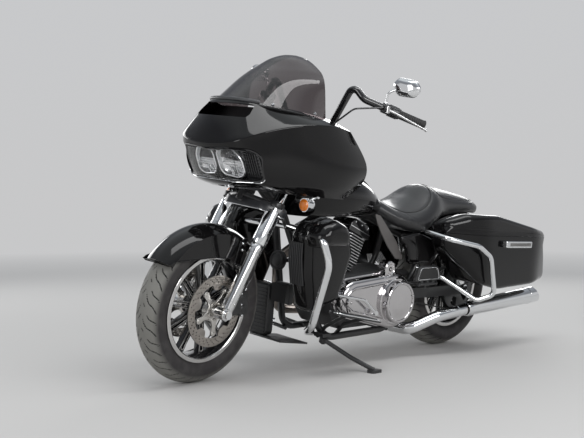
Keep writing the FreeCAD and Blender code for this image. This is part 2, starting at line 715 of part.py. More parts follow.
def finned_cylinder():
    parts = [Part.makeCylinder(barrel_radius, cylinder_top - cylinder_base + 40.0,
                               V(0, 0, cylinder_base - 40.0))]
    step = (cylinder_top - cylinder_base - 24.0) / (fin_count - 1)
    for i in range(fin_count):
        z = cylinder_base + 12.0 + i * step
        wide = fin_half_x - (10.0 if i < 3 else 0.0)
        deep = fin_half_y - (8.0 if i < 3 else 0.0)
        cut = 24.0
        parts.append(slab("z", ((wide, deep - cut), (wide - cut, deep), (cut - wide, deep),
                                (-wide, deep - cut),
                                (-wide, cut - deep), (cut - wide, -deep), (wide - cut, -deep),
                                (wide, cut - deep)),
                          z, z + fin_thickness))
    return join(*parts)


cylinder = finned_cylinder()
rocker = slab("y", ((-72.0, cylinder_top + seat_gap, 4.0), (72.0, cylinder_top + seat_gap, 4.0),
                    (70.0, rocker_top - 24.0, 12.0), (52.0, rocker_top, 14.0), (-52.0, rocker_top, 14.0),
                    (-70.0, rocker_top - 24.0, 12.0)), -64.0, 64.0)
front_port_end = (92.0, -58.0, 272.0)
rear_port_end = (-92.0, -58.0, 272.0)
front_cylinder = on_cylinder(cylinder_angle, join(cylinder,
                                                  rod((30.0, -30.0, 272.0), front_port_end, header_radius)))
rear_cylinder = on_cylinder(-cylinder_angle, join(cylinder,
                                                  rod((-30.0, -30.0, 272.0), rear_port_end, header_radius)))
belt_pocket = box(-420.0, -292.0, 88.0, 130.0, 255.0, 405.0)
engine_cases = trim(cases, cradle_room, mirrored(cradle_room), belt_pocket)
front_cylinder = trim(front_cylinder, engine_cases, box(crank_x - 300.0, crank_x + 0.5, -90, 90, 0, 700))
rear_cylinder = trim(rear_cylinder, engine_cases, box(crank_x - 0.5, crank_x + 300.0, -90, 90, 0, 700))
fixed["engine_cases"] = engine_cases
fixed["cylinders"] = Part.makeCompound([front_cylinder, rear_cylinder])
fixed["rocker_covers"] = Part.makeCompound([on_cylinder(cylinder_angle, rocker),
                                            on_cylinder(-cylinder_angle, rocker)])

primary_rings = [tangent_outline(crank_x, crank_z, primary_front_radius - inset, clutch_x, clutch_z,
                                 clutch_radius - inset, y)
                 for inset, y in ((0.0, primary_inner_y), (0.0, primary_outer_y - 18.0),
                                  (13.0, primary_outer_y))]
primary = Part.makeLoft(primary_rings, True, True)
clutch_cover = join(rod((clutch_x, primary_outer_y - 4.0, clutch_z),
                        (clutch_x, clutch_cover_y - 6.0, clutch_z),
                        clutch_cover_radius),
                    cone((clutch_x, clutch_cover_y - 6.0, clutch_z), (clutch_x, clutch_cover_y, clutch_z),
                         clutch_cover_radius, clutch_cover_radius - 8.0))
starter_cover = rod((-196.0, primary_inner_y, 452.0), (-196.0, 172.0, 452.0), 40.0)
fixed["primary_cover"] = trim(join(primary, clutch_cover, starter_cover), cradle_room, fixed["frame"])

cam_cover = join(rod((crank_x + 10.0, -104.3, 316.0), (crank_x + 10.0, -146.0, 316.0), 92.0),
                 slab("y", ((-30.0, 380.0, 20.0), (130.0, 380.0, 20.0), (120.0, 436.0, 16.0),
                            (-10.0, 436.0, 16.0)),
                      -138.0, -104.3))
pushrods = [rod((crank_x + 10.0 + side * base, -122.0, 430.0),
                (crank_x + side * top, -86.0, crank_z + high), 11.0)
            for side in (1.0, -1.0) for base, top, high in ((22.0, 104.0, 300.0), (46.0, 140.0, 292.0))]
fixed["cam_cover"] = trim(join(cam_cover, *pushrods), fixed["cylinders"], fixed["rocker_covers"])
air_box = join(rod((crank_x - 6.0, -118.0, 560.0), (crank_x - 6.0, -176.0, 560.0), 88.0),
               rod((crank_x, -60.0, 560.0), (crank_x, -120.0, 560.0), 28.0))
fixed["air_cleaner"] = trim(air_box, fixed["cylinders"], fixed["rocker_covers"], fixed["cam_cover"])


# Exhaust: two header pipes, a crossover under the engine and two mufflers

def muffler():
    start = (muffler_front[0], muffler_y, muffler_front[1])
    end = (muffler_rear[0], muffler_y, muffler_rear[1])
    outer = cone(start, end, muffler_front_radius, muffler_rear_radius)
    mouth = cone((end[0] + 260.0, end[1], end[2] - 15.0), end, muffler_rear_radius - 8.0,
                 muffler_rear_radius - muffler_wall)
    slice_box = turned(box(-60.0, 0.0, -80.0, 80.0, -80.0, 80.0), (0, 0, 0), (0, 1, 0), -30.0)
    slice_box.translate(V(end[0] + 14.0, end[1], end[2] - 20.0))
    return outer.cut(mouth).cut(slice_box)


fixed["mufflers"] = pair(muffler())
left_pipe = pipe(((-372.0, -214.0, 190.0), (-346.0, -124.0, 150.0, 40.0), (-346.0, 188.0, 156.0, 60.0),
                  (-470.0, 262.0, 224.0, 90.0), (muffler_front[0] + seat_gap, muffler_y, muffler_front[1])),
                 header_radius)
front_exit = on_cylinder(cylinder_angle, Part.Vertex(V(*front_port_end) - V(4.0, -2.0, 0.0))).Point
rear_exit = on_cylinder(-cylinder_angle, Part.Vertex(V(*rear_port_end) - V(-4.0, -2.0, 0.0))).Point
right_pipe = pipe(((front_exit.x, front_exit.y, front_exit.z), (268.0, -120.0, 480.0, 50.0),
                   (190.0, -190.0, 230.0, 90.0), (-330.0, -210.0, 176.0, 120.0),
                   (-500.0, -264.0, 230.0, 90.0),
                   (muffler_front[0] + seat_gap, -muffler_y, muffler_front[1])), header_radius)
rear_pipe = pipe(((rear_exit.x, rear_exit.y, rear_exit.z), (-205.0, -150.0, 520.0, 40.0),
                  (-250.0, -196.0, 300.0, 60.0),
                  (-340.0, -212.0, 190.0)), header_radius)
exhaust_cut = [fixed["cylinders"], fixed["rocker_covers"], fixed["cam_cover"], fixed["frame"],
               fixed["engine_cases"], fixed["primary_cover"], fixed["mufflers"]]
fixed["header_pipes"] = trim(join(right_pipe, rear_pipe, left_pipe), *exhaust_cut)


# Fuel tank with its console and hinged filler door

tank = Part.makeLoft([body_section(*row) for row in tank_sections], True, False)
backbone_room = pipe(backbone_path, backbone_radius + seat_gap)
leg_sweep = math.hypot(leg_half_spacing, steering_x(upper_clamp_z) - leg_x(upper_clamp_z)) + cover_radius
neck_room = rod((steering_x(600.0), 0, 600.0), (steering_x(1100.0), 0, 1100.0), leg_sweep)
tank = trim(tank, backbone_room, neck_room, fixed["rocker_covers"], cradle_room, mirrored(cradle_room))
fixed["fuel_tank"] = tank
console_block = slab("z", ((330.0, -34.0, 20.0), (330.0, 34.0, 20.0), (120.0, 52.0, 60.0),
                           (-90.0, 42.0, 60.0),
                           (-196.0, 26.0, 12.0), (-196.0, -26.0, 12.0), (-90.0, -42.0, 60.0),
                           (120.0, -52.0, 60.0)),
                     760.0, 960.0)
tank_lifted = Part.makeLoft([body_section(x, half + 10, low, low_z, waist, top + 12.0)
                             for x, half, low, low_z, waist, top in tank_sections], True, False)
console = console_block.common(tank_lifted).cut(tank)
console = max(console.Solids, key=lambda s: s.Volume)
door_x = 150.0
door_z = 929.0
door_radius = 34.0
door_thickness = 8.0
door_well = rod((door_x, 0, door_z - door_thickness - seat_gap), (door_x, 0, door_z + 40.0),
                door_radius + 1.5)
fixed["tank_console"] = console.cut(door_well)
fixed["fuel_door"] = rod((door_x, 0, door_z - door_thickness), (door_x, 0, door_z), door_radius)


# Fairing: a frame-mounted shark-nosed shell, open at the rear, with a lamp window and a vent

fairing_levels = (
    # rear x, rear y, side x, side y, corner x, corner y, nose x, then z at rear, side, corner and nose;
    # the first and last level are flat, so their side and corner heights follow from the ends
    (300.0, 285.0, 450.0, 290.0, 640.0, 165.0, 745.0, 796.0, None, None, 822.0),
    (215.0, 305.0, 480.0, 326.0, 738.0, 205.0, 792.0, 862.0, 855.0, 850.0, 846.0),
    (218.0, 326.0, 520.0, 334.0, 786.0, 214.0, 826.0, 950.0, 940.0, 924.0, 920.0),
    (318.0, 312.0, 600.0, 312.0, 828.0, 176.0, 852.0, 1084.0, 1096.0, 1016.0, 994.0),
    (372.0, 248.0, 560.0, 214.0, 716.0, 134.0, 756.0, 1126.0, None, None, 1184.0),
)
fairing_wall = 4.0


def fairing_line(row, inset):
    """The left half of one level, from its rear end to the nose, drawn in by an inset."""
    rx, ry, sx, sy, kx, ky, nx, rz, sz, kz, nz = row
    spots = [[rx, ry - inset, rz], [sx, sy - inset, sz], [kx - inset * 0.8, ky - inset * 0.6, kz],
             [nx - inset, 0.0, nz]]
    if sz is None:
        slope = (nz - rz) / (nx - rx)
        for spot in spots:
            spot[2] = rz + slope * (spot[0] - rx)
    return [V(*spot) for spot in spots]


def flipped(spots):
    return [V(p.x, -p.y, p.z) for p in spots]


def fairing_ring(row, wall):
    """One level of the shell: outer and inner line of a U that is open to the rear."""
    outer = fairing_line(row, 0.0)
    inner = fairing_line(row, wall)
    flip = flipped(outer)
    flip_in = flipped(inner)
    return Part.Wire([
        Part.Arc(outer[0], outer[1], outer[2]).toShape(),
        Part.Arc(outer[2], outer[3], flip[2]).toShape(),
        Part.Arc(flip[2], flip[1], flip[0]).toShape(),
        Part.LineSegment(flip[0], flip_in[0]).toShape(),
        Part.Arc(flip_in[0], flip_in[1], flip_in[2]).toShape(),
        Part.Arc(flip_in[2], inner[3], inner[2]).toShape(),
        Part.Arc(inner[2], inner[1], inner[0]).toShape(),
        Part.LineSegment(inner[0], outer[0]).toShape(),
    ])


def fairing_inside(row, inset):
    """One level of the space inside the shell, closed at the rear."""
    near = fairing_line(row, inset)
    far = flipped(near)
    return Part.Wire([
        Part.Arc(near[0], near[1], near[2]).toShape(),
        Part.Arc(near[2], near[3], far[2]).toShape(),
        Part.Arc(far[2], far[1], far[0]).toShape(),
        Part.LineSegment(far[0], near[0]).toShape(),
    ])


def positive(shape):
    """The solid with its faces turned outwards."""
    solid = solid_of(shape)
    if solid.Volume < 0.0:
        solid = solid.reversed()
    return solid


fairing = positive(Part.makeLoft([fairing_ring(row, fairing_wall) for row in fairing_levels], True, True))
fairing_space = positive(Part.makeLoft([fairing_inside(row,
                                                       fairing_wall + seat_gap) for row in fairing_levels],
                                       True, True))
lamp_window = slab("x", ((-238.0, 856.0, 30.0), (238.0, 856.0, 30.0), (244.0, 986.0, 44.0),
                         (0.0, 976.0, 0.0),
                         (-244.0, 986.0, 44.0)), 660.0, 900.0)
vent_window = slab("x", ((-138.0, 1122.0, 12.0), (138.0, 1122.0, 12.0), (128.0, 1164.0, 16.0),
                         (-128.0, 1164.0, 16.0)), 640.0, 820.0)

# The lower clamp's bosses pass close to the shell's bottom corners at full lock, so the corners are relieved there
clamp_room = rod(on_leg(lower_clamp_z - lock_relief_height / 2.0, leg_half_spacing),
                 on_leg(lower_clamp_z + lock_relief_height / 2.0, leg_half_spacing),
                 clamp_boss_radius + lock_relief)
clamp_rooms = [turned(clamp_room, (steering_axis_floor_x, 0, 0),
                      (-math.sin(math.radians(rake_angle)), 0, math.cos(math.radians(rake_angle))), -angle)
               for angle in lock_angles]
fixed["fairing"] = trim(fairing, lamp_window, vent_window, *clamp_rooms, *[mirrored(r) for r in clamp_rooms])

lamp_block = slab("y", ((lamp_back_x, 850.0, 6.0), (794.0, 852.0, 6.0), (826.0, 992.0, 6.0),
                        (lamp_back_x, 992.0, 6.0)), -320.0, 320.0)
lamp_case = lamp_block.common(fairing_space)
lamp_front = slab("y", ((740.0, 872.0, 6.0), (780.0, 872.0, 6.0), (806.0, 966.0, 6.0), (740.0, 966.0, 6.0)),
                  -160.0, 160.0)
lamp_lenses = [rod((700.0, s * 77.0, 906.0), (796.0, s * 77.0, 922.0), 46.0) for s in (1.0, -1.0)]
fixed["headlamps"] = trim(join(lamp_case, lamp_front, *lamp_lenses), fixed["fairing"])

# Inner fairing: the instrument panel and the two side pockets
dash = slab("y", ((566.0, 1016.0, 10.0), (486.0, 1100.0, 10.0), (476.0, 1170.0, 10.0),
                  (560.0, 1180.0, 10.0),
                  (640.0, 1040.0, 20.0)), -320.0, 320.0)
pocket = slab("y", ((400.0, 860.0, 20.0), (360.0, 1040.0, 30.0), (420.0, 1086.0, 30.0),
                    (640.0, 1060.0, 30.0),
                    (640.0, 880.0, 30.0)), 246.0, 340.0)
dash_body = join(dash, pocket, mirrored(pocket))
fixed["dash"] = trim(dash_body.common(fairing_space), fixed["headlamps"])

shield_levels = (
    # rear x, rear y, nose x, z at rear, z at nose
    (406.0, 246.0, 748.0, 1118.0, 1170.0),
    (412.0, 232.0, 640.0, 1256.0, 1256.0),
    (386.0, 176.0, 530.0, 1338.0, 1338.0),
    (374.0, 92.0, 446.0, 1388.0, 1388.0),
)
shield_wall = 4.0


def shield_ring(rx, ry, nx, rz, nz):
    slope = (nz - rz) / (nx - rx)
    outer = [V(rx, ry, rz), V(nx, 0.0, nz), V(rx, -ry, rz)]
    inner = [V(rx, ry - shield_wall, rz), V(nx - shield_wall, 0.0, nz - slope * shield_wall),
             V(rx, shield_wall - ry, rz)]
    return Part.Wire([
        Part.Arc(*outer).toShape(),
        Part.LineSegment(outer[2], inner[2]).toShape(),
        Part.Arc(inner[2], inner[1], inner[0]).toShape(),
        Part.LineSegment(inner[0], outer[0]).toShape(),
    ])


shield = positive(Part.makeLoft([shield_ring(*row) for row in shield_levels], True, True))
fixed["windshield"] = trim(shield, fixed["fairing"], fixed["dash"])

signal_at = V(470.0, 236.0, 768.0)
signal = join(rod((signal_at.x - 34.0, signal_at.y, signal_at.z),
                  (signal_at.x + 22.0, signal_at.y, signal_at.z), 29.0),
              rod((signal_at.x - 12.0, signal_at.y, signal_at.z + 20.0),
                  (signal_at.x - 12.0, signal_at.y + 58.0, 808.0), 7.0))
fixed["front_signals"] = pair(trim(signal, fixed["fairing"]))


# Lower fairings, engine guard and the units in front of the cradle

lower_points = ((496.0, 640.0, 40.0), (452.0, 700.0, 50.0), (380.0, 724.0, 60.0), (262.0, 690.0, 70.0),
                (204.0, 570.0, 60.0), (250.0, 430.0, 120.0), (290.0, 350.0, 24.0), (440.0, 312.0, 24.0),
                (486.0, 480.0, 200.0))
lower_rings = []
for y, inset in ((176.0, 26.0), (216.0, 0.0), (262.0, 0.0), (296.0, 30.0)):
    centre = V(360.0, y, 520.0)
    ring = bent([(x, y, z, r) for x, z, r in lower_points], True)
    shrink = FreeCAD.Matrix()
    factor_x = 1.0 - inset / 145.0
    factor_z = 1.0 - inset / 200.0
    shrink.scale(factor_x, 1.0, factor_z)
    moved = ring.copy()
    moved.translate(V(-centre.x, -y, -centre.z))
    moved = moved.transformGeometry(shrink)
    moved.translate(centre)
    lower_rings.append(moved)
lower = Part.makeLoft(lower_rings, True, True)
guard_path = ((380.0, 50.0, 650.0), (430.0, 210.0, 650.0, 40.0), (492.0, 362.0, 652.0, 44.0),
              (468.0, 392.0, 540.0, 120.0), (446.0, 300.0, 262.0, 60.0), (320.0, 150.0, 200.0, 60.0),
              (262.0, 122.0, 186.0))
guard = pipe(guard_path, guard_radius)
guard_room = pipe(guard_path, guard_radius + seat_gap)
fixed["lower_fairings"] = pair(trim(lower, guard_room, fixed["frame"]))
guard_bar = rod((380.0, -60.0, 650.0), (380.0, 60.0, 650.0), 12.0)
fixed["engine_guard"] = trim(join(guard, mirrored(guard), guard_bar), fixed["frame"], fixed["cylinders"],
                             fixed["header_pipes"])

front_box = slab("x", ((-150.0, 152.0, 26.0), (-10.0, 152.0, 26.0), (-6.0, 386.0, 16.0),
                       (-150.0, 386.0, 16.0)),
                 372.0, 420.0)
cooler = [box(372.0, 412.0, 4.0, 96.0, z, z + 3.0) for z in range(318, 402, 9)]
cooler_core = box(366.0, 392.0, 2.0, 98.0, 312.0, 404.0)
belly = slab("y", ((430.0, 158.0), (436.0, 150.0), (262.0, 126.0), (258.0, 133.0)), -96.0, 104.0)
unit_arms = [rod((380.0, -92.0, 350.0), (284.0, -86.0, 366.0), 8.0),
             rod((380.0, 70.0, 350.0), (284.0, 84.0, 366.0), 8.0),
             rod((376.0, -20.0, 350.0), (376.0, 20.0, 350.0), 8.0)]
units = trim(join(front_box, cooler_core, belly, *cooler, *unit_arms), fixed["frame"],
             fixed["engine_guard"])
horn = join(rod((398.0, 30.0, 500.0), (424.0, 30.0, 504.0), 44.0),
            rod((402.0, 34.0, 501.0), (332.0, 58.0, 501.0), 9.0))
fixed["front_units"] = Part.makeCompound([units, trim(horn, fixed["frame"])])


# Seat, side covers, rear fender and rear lamps

def rear_fender_shell():
    c = V(rear_fender_x, 0, rear_fender_z)
    outer_r = rear_fender_radius

    def face(radius, half, depth):
        x = rear_fender_x
        z = rear_fender_z
        crown = Part.Arc(V(x, -half, z + radius - 26.0), V(x, 0, z + radius),
                         V(x, half, z + radius - 26.0)).toShape()
        spots = [V(x, half, z + radius - 26.0), V(x, half, z + radius - depth),
                 V(x, -half, z + radius - depth),
                 V(x, -half, z + radius - 26.0)]
        lines = [Part.LineSegment(spots[i], spots[i + 1]).toShape() for i in range(3)]
        return Part.Face(Part.Wire([crown] + lines))

    ring = face(outer_r, rear_fender_half, rear_fender_depth).cut(
        face(outer_r - rear_fender_wall, rear_fender_half - rear_fender_wall, rear_fender_depth + 20.0))
    swept = ring.revolve(c, V(0, -1, 0), 128.0)
    return solid_of(turned(swept, (c.x, 0, c.z), (0, 1, 0), 42.0))


seat = Part.makeLoft([body_section(*row) for row in seat_sections], True, False)
rear_fender = rear_fender_shell()
rail_room = pipe(((-440.0, 108.0, 612.0), (-560.0, 108.0, 652.0, 80.0), (-900.0, 122.0, 652.0)),
                 11.0 + seat_gap)
rear_fender = trim(rear_fender, rail_room, mirrored(rail_room), fixed["frame"])
fixed["rear_fender"] = rear_fender
frame_room = join(rear_rail, mirrored(rear_rail), backbone)
fender_fill = Part.makeCylinder(rear_fender_radius + seat_gap, 2 * rear_fender_half + 1.0,
                                V(rear_fender_x, -rear_fender_half - 0.5, rear_fender_z), V(0, 1, 0))
fixed["seat"] = trim(seat, fender_fill, frame_room, tank, fixed["tank_console"])

side_cover = slab("y", ((-236.0, 600.0, 30.0), (-300.0, 560.0, 60.0), (-330.0, 470.0, 30.0),
                        (-470.0, 470.0, 40.0),
                        (-540.0, 500.0, 40.0), (-500.0, 590.0, 60.0), (-380.0, 625.0, 60.0)), 152.0, 176.0)
cover_post = rod((-440.0, 112.0, 560.0), (-440.0, 153.0, 560.0), 9.0)
side_cover = join(side_cover, cover_post)
strip = slab("y", ((-90.0, 714.0, 4.0), (-124.0, 706.0, 4.0), (-340.0, 492.0, 4.0), (-306.0, 496.0, 4.0)),
             132.0, 138.0)
strip_post = rod((-328.0, 132.5, 502.0), (-328.0, 156.0, 502.0), 5.0)
fixed["side_covers"] = pair(trim(join(side_cover, strip, strip_post), fixed["frame"], fixed["seat"], tank))

tail_x = rear_fender_x - rear_fender_radius
tail_bar = rod((tail_x + 60.0, -136.0, 520.0), (tail_x + 60.0, 136.0, 520.0), 9.0)
tail_signals = [rod((tail_x + 60.0, s * 140.0, 520.0), (tail_x - 2.0, s * 140.0, 520.0),
                    32.0) for s in (1.0, -1.0)]
plate = slab("x", ((-90.0, 386.0, 10.0), (90.0, 386.0, 10.0), (90.0, 492.0, 10.0), (-90.0, 492.0, 10.0)),
             tail_x - 14.0, tail_x - 10.0)
tail_mount = slab("y", ((tail_x - 12.0, 440.0), (tail_x + 62.0, 440.0), (tail_x + 92.0, 530.0),
                        (tail_x + 46.0, 530.0),
                        (tail_x - 12.0, 476.0)), -30.0, 30.0)
fixed["rear_lamps"] = trim(join(tail_bar, plate, tail_mount, *tail_signals), rear_fender)


# Saddlebags: hollow boxes with separate lids, and the chrome guard loops

def bag_solid(side_points, inset):
    """The space inside the plan outline and the side outline, drawn in by an inset."""
    plan = [(bag_outline[0][0] - inset + 8.0, bag_inner_y + inset, 8.0)]
    plan += [(bag_outline[0][0] - inset, bag_outline[0][1] - inset, bag_outline[0][2])]
    plan += [(x, y - inset, r) for x, y, r in bag_outline[1:3]]
    plan += [(bag_outline[3][0] + inset, bag_outline[3][1] - inset, bag_outline[3][2])]
    plan += [(bag_outline[3][0] + inset - 6.0, bag_inner_y + inset, 8.0)]
    column = slab("z", plan, 300.0, 800.0)
    slice_y = slab("y", side_points, 150.0, 450.0)
    return column.common(slice_y)


def inset_side(points, x_in, low_in, high_in, z_split):
    """The side outline drawn in by a wall."""
    middle = sum(p[0] for p in points) / len(points)
    moved = []
    for x, z, r in points:
        dx = -x_in if x > middle else x_in
        dz = low_in if z < z_split else -high_in
        moved.append((x + dx, z + dz, r))
    return tuple(moved)


bag_outer = bag_solid(bag_side, 0.0)
bag_hollow = bag_solid(inset_side(bag_side, bag_wall, bag_wall, -30.0, 600.0), bag_wall)
bag = solid_of(bag_outer.cut(bag_hollow))
lid_lift = V(0, 0, lid_gap)
lid_outer = bag_solid(lid_side, 0.0)
lid_hollow = bag_solid(inset_side(lid_side, bag_wall, -30.0, bag_wall, 640.0), bag_wall)
lid = lid_outer.cut(lid_hollow)
lid.translate(lid_lift)
latch = slab("y", ((-790.0, 566.0, 8.0), (-1016.0, 566.0, 8.0), (-1016.0, 594.0, 8.0),
                   (-790.0, 594.0, 8.0)),
             378.0, 400.0)
latch = latch.cut(bag_hollow)
lid = max(lid.Solids, key=lambda s: s.Volume)

bag_guard_path = ((-430.0, 112.0, 636.0), (-400.0, 330.0, 614.0, 60.0), (-545.0, 412.0, 584.0, 60.0),
                  (-644.0, 416.0, 528.0, 60.0), (-704.0, 416.0, 340.0, 34.0), (-640.0, 360.0, 306.0, 34.0),
                  (-540.0, 215.0, 402.0, 40.0), (-418.0, 138.0, 446.0))
bag_guard = pipe(bag_guard_path, bag_guard_radius)
guard_cut = pipe(bag_guard_path, bag_guard_radius + seat_gap)
bag = trim(join(bag, latch), guard_cut)
lid = trim(lid, guard_cut)
fixed["saddlebag_left"] = bag
fixed["saddlebag_right"] = mirrored(bag)
fixed["lid_left"] = lid
fixed["lid_right"] = mirrored(lid)
fixed["saddlebag_guards"] = pair(trim(bag_guard, fixed["frame"], fixed["seat"], fixed["side_covers"]))


# Swingarm, shocks, rear axle, caliper and belt

arm = slab("z", ((-405.0, 104.0, 10.0), (-405.0, 136.0, 10.0), (-520.0, 152.0, 60.0), (-860.0, 152.0, 10.0),
                 (-860.0, 128.0, 10.0), (-540.0, 128.0, 60.0), (-470.0, 104.0, 40.0)), 292.0, 342.0)
yoke_bar = box(-470.0, -440.0, -108.0, 108.0, 300.0, 334.0)
axle_hole = rod((rear_x, -200.0, axle_height), (rear_x, 200.0, axle_height), axle_radius + running_gap)
swingarm = join(arm, mirrored(arm), yoke_bar).cut(axle_hole)
fixed["swingarm"] = trim(swingarm, fixed["frame"])
fixed["rear_axle"] = join(rod((rear_x, -158.0, axle_height), (rear_x, 158.0, axle_height), axle_radius),
                          rod((rear_x, 152.3, axle_height), (rear_x, 164.0, axle_height), 20.0),
                          rod((rear_x, -164.0, axle_height), (rear_x, -152.3, axle_height), 20.0))
shock = join(rod((-742.0, 176.0, 356.0), (-640.0, 176.0, 620.0), 27.0),
             rod((-742.0, 153.0, 344.0), (-742.0, 180.0, 344.0), 13.0),
             rod((-640.0, 112.0, 642.0), (-640.0, 180.0, 620.0), 11.0))
fixed["shocks"] = pair(trim(shock, fixed["swingarm"], fixed["frame"], rear_fender))
rear_caliper = caliper(rear_x + 118.0, 0.0, axle_height + 88.0, -140.0, -rear_disc_y, rear_disc_radius)
caliper_arm = box(-724.0, -676.0, -147.0, -rear_disc_y - 20.0, 342.0 + seat_gap, 400.0)
fixed["rear_caliper"] = trim(join(rear_caliper, caliper_arm), fixed["swingarm"], rear_disc)
belt_front = (-360.0, 330.0, 42.0)
belt_rings = [tangent_outline(rear_x, axle_height, pulley_radius + grow, belt_front[0], belt_front[1],
                              belt_front[2] + grow,
                              pulley_y - belt_width / 2.0) for grow in (6.0, seat_gap)]
belt = Part.Face(belt_rings[0]).cut(Part.Face(belt_rings[1])).extrude(V(0, belt_width, 0))
fixed["drive_belt"] = solid_of(belt)


# Foot controls and boards

def board():
    flat = slab("z", ((0.0, -board_width / 2.0, 22.0), (board_length - 40.0, -board_width / 2.0, 40.0),
                      (board_length, 0.0, 40.0), (board_length - 20.0, board_width / 2.0, 30.0),
                      (0.0, board_width / 2.0, 22.0)), -7.0, 7.0)
    flat = turned(flat, (0, 0, 0), (0, 1, 0), -board_tilt)
    flat.translate(V(*board_rear))
    return flat


rider_board = board()
left_arms = [pipe(((x, cradle_half, cradle_z + 10.0), (x, 150.0, 212.0, 24.0), (x, 262.0, z)), 9.0)
             for x, z in ((80.0, 258.0), (200.0, 281.0))]
right_arms = [pipe(((x, -cradle_half, cradle_z + 2.0), (x, -246.0, cradle_z + 12.0, 30.0), (x, -276.0, z)),
                   9.0)
              for x, z in ((80.0, 258.0), (200.0, 281.0))]
left_board = trim(join(rider_board, *left_arms), fixed["frame"], fixed["primary_cover"])
right_board = trim(join(mirrored(rider_board), *right_arms), fixed["frame"], fixed["header_pipes"])
fixed["rider_boards"] = Part.makeCompound([left_board, right_board])
shift_lever = pipe(((-60.0, 214.0, 262.0), (30.0, 218.0, 330.0, 60.0), (250.0, 240.0, 372.0, 60.0),
                    (300.0, 262.0, 380.0)), 7.0)
brake_lever = pipe(((60.0, -190.0, 300.0), (200.0, -214.0, 340.0, 60.0), (300.0, -252.0, 372.0)), 8.0)
brake_post = rod((60.0, -150.0, 300.0), (60.0, -196.0, 300.0), 13.0)
shift_post = rod((-60.0, primary_outer_y + seat_gap, 262.0), (-60.0, 220.0, 262.0), 12.0)
fixed["foot_controls"] = Part.makeCompound([
    trim(join(shift_lever, shift_post), fixed["lower_fairings"], fixed["primary_cover"]),
    trim(join(brake_lever, brake_post), fixed["lower_fairings"], fixed["header_pipes"],
         fixed["cam_cover"])])


def passenger_board():
    x, y, z = passenger_hinge
    half = passenger_board_length / 2.0
    high = z + passenger_board_height
    pad = slab("y", ((x - half, z + 16.0, 8.0), (x + half, z + 16.0, 8.0), (x + half - 26.0, high, 34.0),
                     (x - half + 26.0, high, 34.0)), y, y + passenger_board_thickness)
    pin = rod((x - 60.0, y + 8.0, z), (x + 60.0, y + 8.0, z), 9.0)
    tabs = box(x - 54.0, x + 54.0, y, y + 14.0, z, z + 20.0)
    return join(pad, pin, tabs)


passenger_left = passenger_board()
fixed["passenger_board_left"] = passenger_left
fixed["passenger_board_right"] = mirrored(passenger_left)

# Park the machine: the side stand is drawn to the floor, then everything leans on it

lean_centre = V(0, 0, 70.0)


steering_way = V(-math.sin(math.radians(rake_angle)), 0, math.cos(math.radians(rake_angle)))
steering_foot = V(steering_axis_floor_x, 0, 0)
turn = FreeCAD.Placement(V(0, 0, 0), FreeCAD.Rotation(steering_way, steering_turn), steering_foot)
tip = FreeCAD.Placement(V(0, 0, 0), FreeCAD.Rotation(V(1, 0, 0), -lean_angle), lean_centre)
front_tip = tip.multiply(turn)


def crown_radius(width):
    half = 0.43 * width
    rise = 0.20 * width
    return (half ** 2 + rise ** 2) / (2.0 * rise)


def lowest(centre, normal, crown):
    """The height of a tyre's lowest point, from its centre, its axle's way and its crown radius."""
    return centre.z - (tyre_radius - crown) * math.sqrt(1.0 - normal.z ** 2) - crown


# Both tyres on the floor: a small pitch about the rear axle, then a drop
front_axle_at = front_tip.multVec(V(front_x, 0, axle_height))
rear_axle_at = tip.multVec(V(rear_x, 0, axle_height))
front_low = lowest(front_axle_at, front_tip.Rotation.multVec(V(0, 1, 0)), crown_radius(front_tyre_width))
rear_low = lowest(rear_axle_at, tip.Rotation.multVec(V(0, 1, 0)), crown_radius(rear_tyre_width))
pitch = math.degrees(math.atan2(front_low - rear_low, front_axle_at.x - rear_axle_at.x))
level = FreeCAD.Placement(V(0, 0, 0), FreeCAD.Rotation(V(0, 1, 0), pitch), rear_axle_at)
settle = FreeCAD.Placement(V(0, 0, -rear_low), FreeCAD.Rotation()).multiply(level)
parked = settle.multiply(tip)
upright = parked.inverse()

# Side stand: a leg from its pivot to a foot pad that lies flat on the floor
foot_x, foot_y = stand_foot_world
ankle = upright.multVec(V(foot_x, foot_y - 4.0, stand_foot_height - 2.0))
knee = hip + (ankle - hip) * 0.55 + V(0, 0, -6.0)
stand_leg = pipe(((hip.x, hip.y, hip.z), (knee.x, knee.y, knee.z, 90.0), (ankle.x, ankle.y, ankle.z)),
                 stand_leg_radius)
stand_eye = Part.makeCylinder(stand_eye_radius, stand_eye_height,
                              hip - stand_way * (stand_eye_height / 2.0), stand_way)
stand_bore = Part.makeCylinder(stand_bolt_radius + running_gap, 60.0, hip - stand_way * 30.0, stand_way)
foot_half = stand_foot_length / 2.0
foot_pad = slab("z", ((-foot_half, -stand_foot_width / 2.0, 12.0),
                      (foot_half, -stand_foot_width / 2.0, 12.0),
                      (foot_half, stand_foot_width / 2.0, 12.0),
                      (-foot_half, stand_foot_width / 2.0, 12.0)),
                0.0, stand_foot_height)
foot_pad.translate(V(foot_x, foot_y, 0.0))
foot_pad.Placement = upright.multiply(foot_pad.Placement)
fixed["side_stand"] = join(stand_leg, stand_eye, foot_pad).cut(stand_bore)

placed = {}
for shapes, place in ((fixed, parked), (steered, settle.multiply(front_tip))):
    for name, shape in shapes.items():
        copy = shape.copy()
        copy.Placement = place.multiply(copy.Placement)
        placed[name] = copy

# The origin goes under the middle of the whole machine
spots = [spot for shape in placed.values() for spot in shape.tessellate(outline_tolerance)[0]]
xs = [spot.x for spot in spots]
ys = [spot.y for spot in spots]
shift = FreeCAD.Placement(V(-(min(xs) + max(xs)) / 2.0, -(min(ys) + max(ys)) / 2.0, 0.0),
                          FreeCAD.Rotation())
park = shift.multiply(parked)
park_steered = shift.multiply(settle).multiply(front_tip)

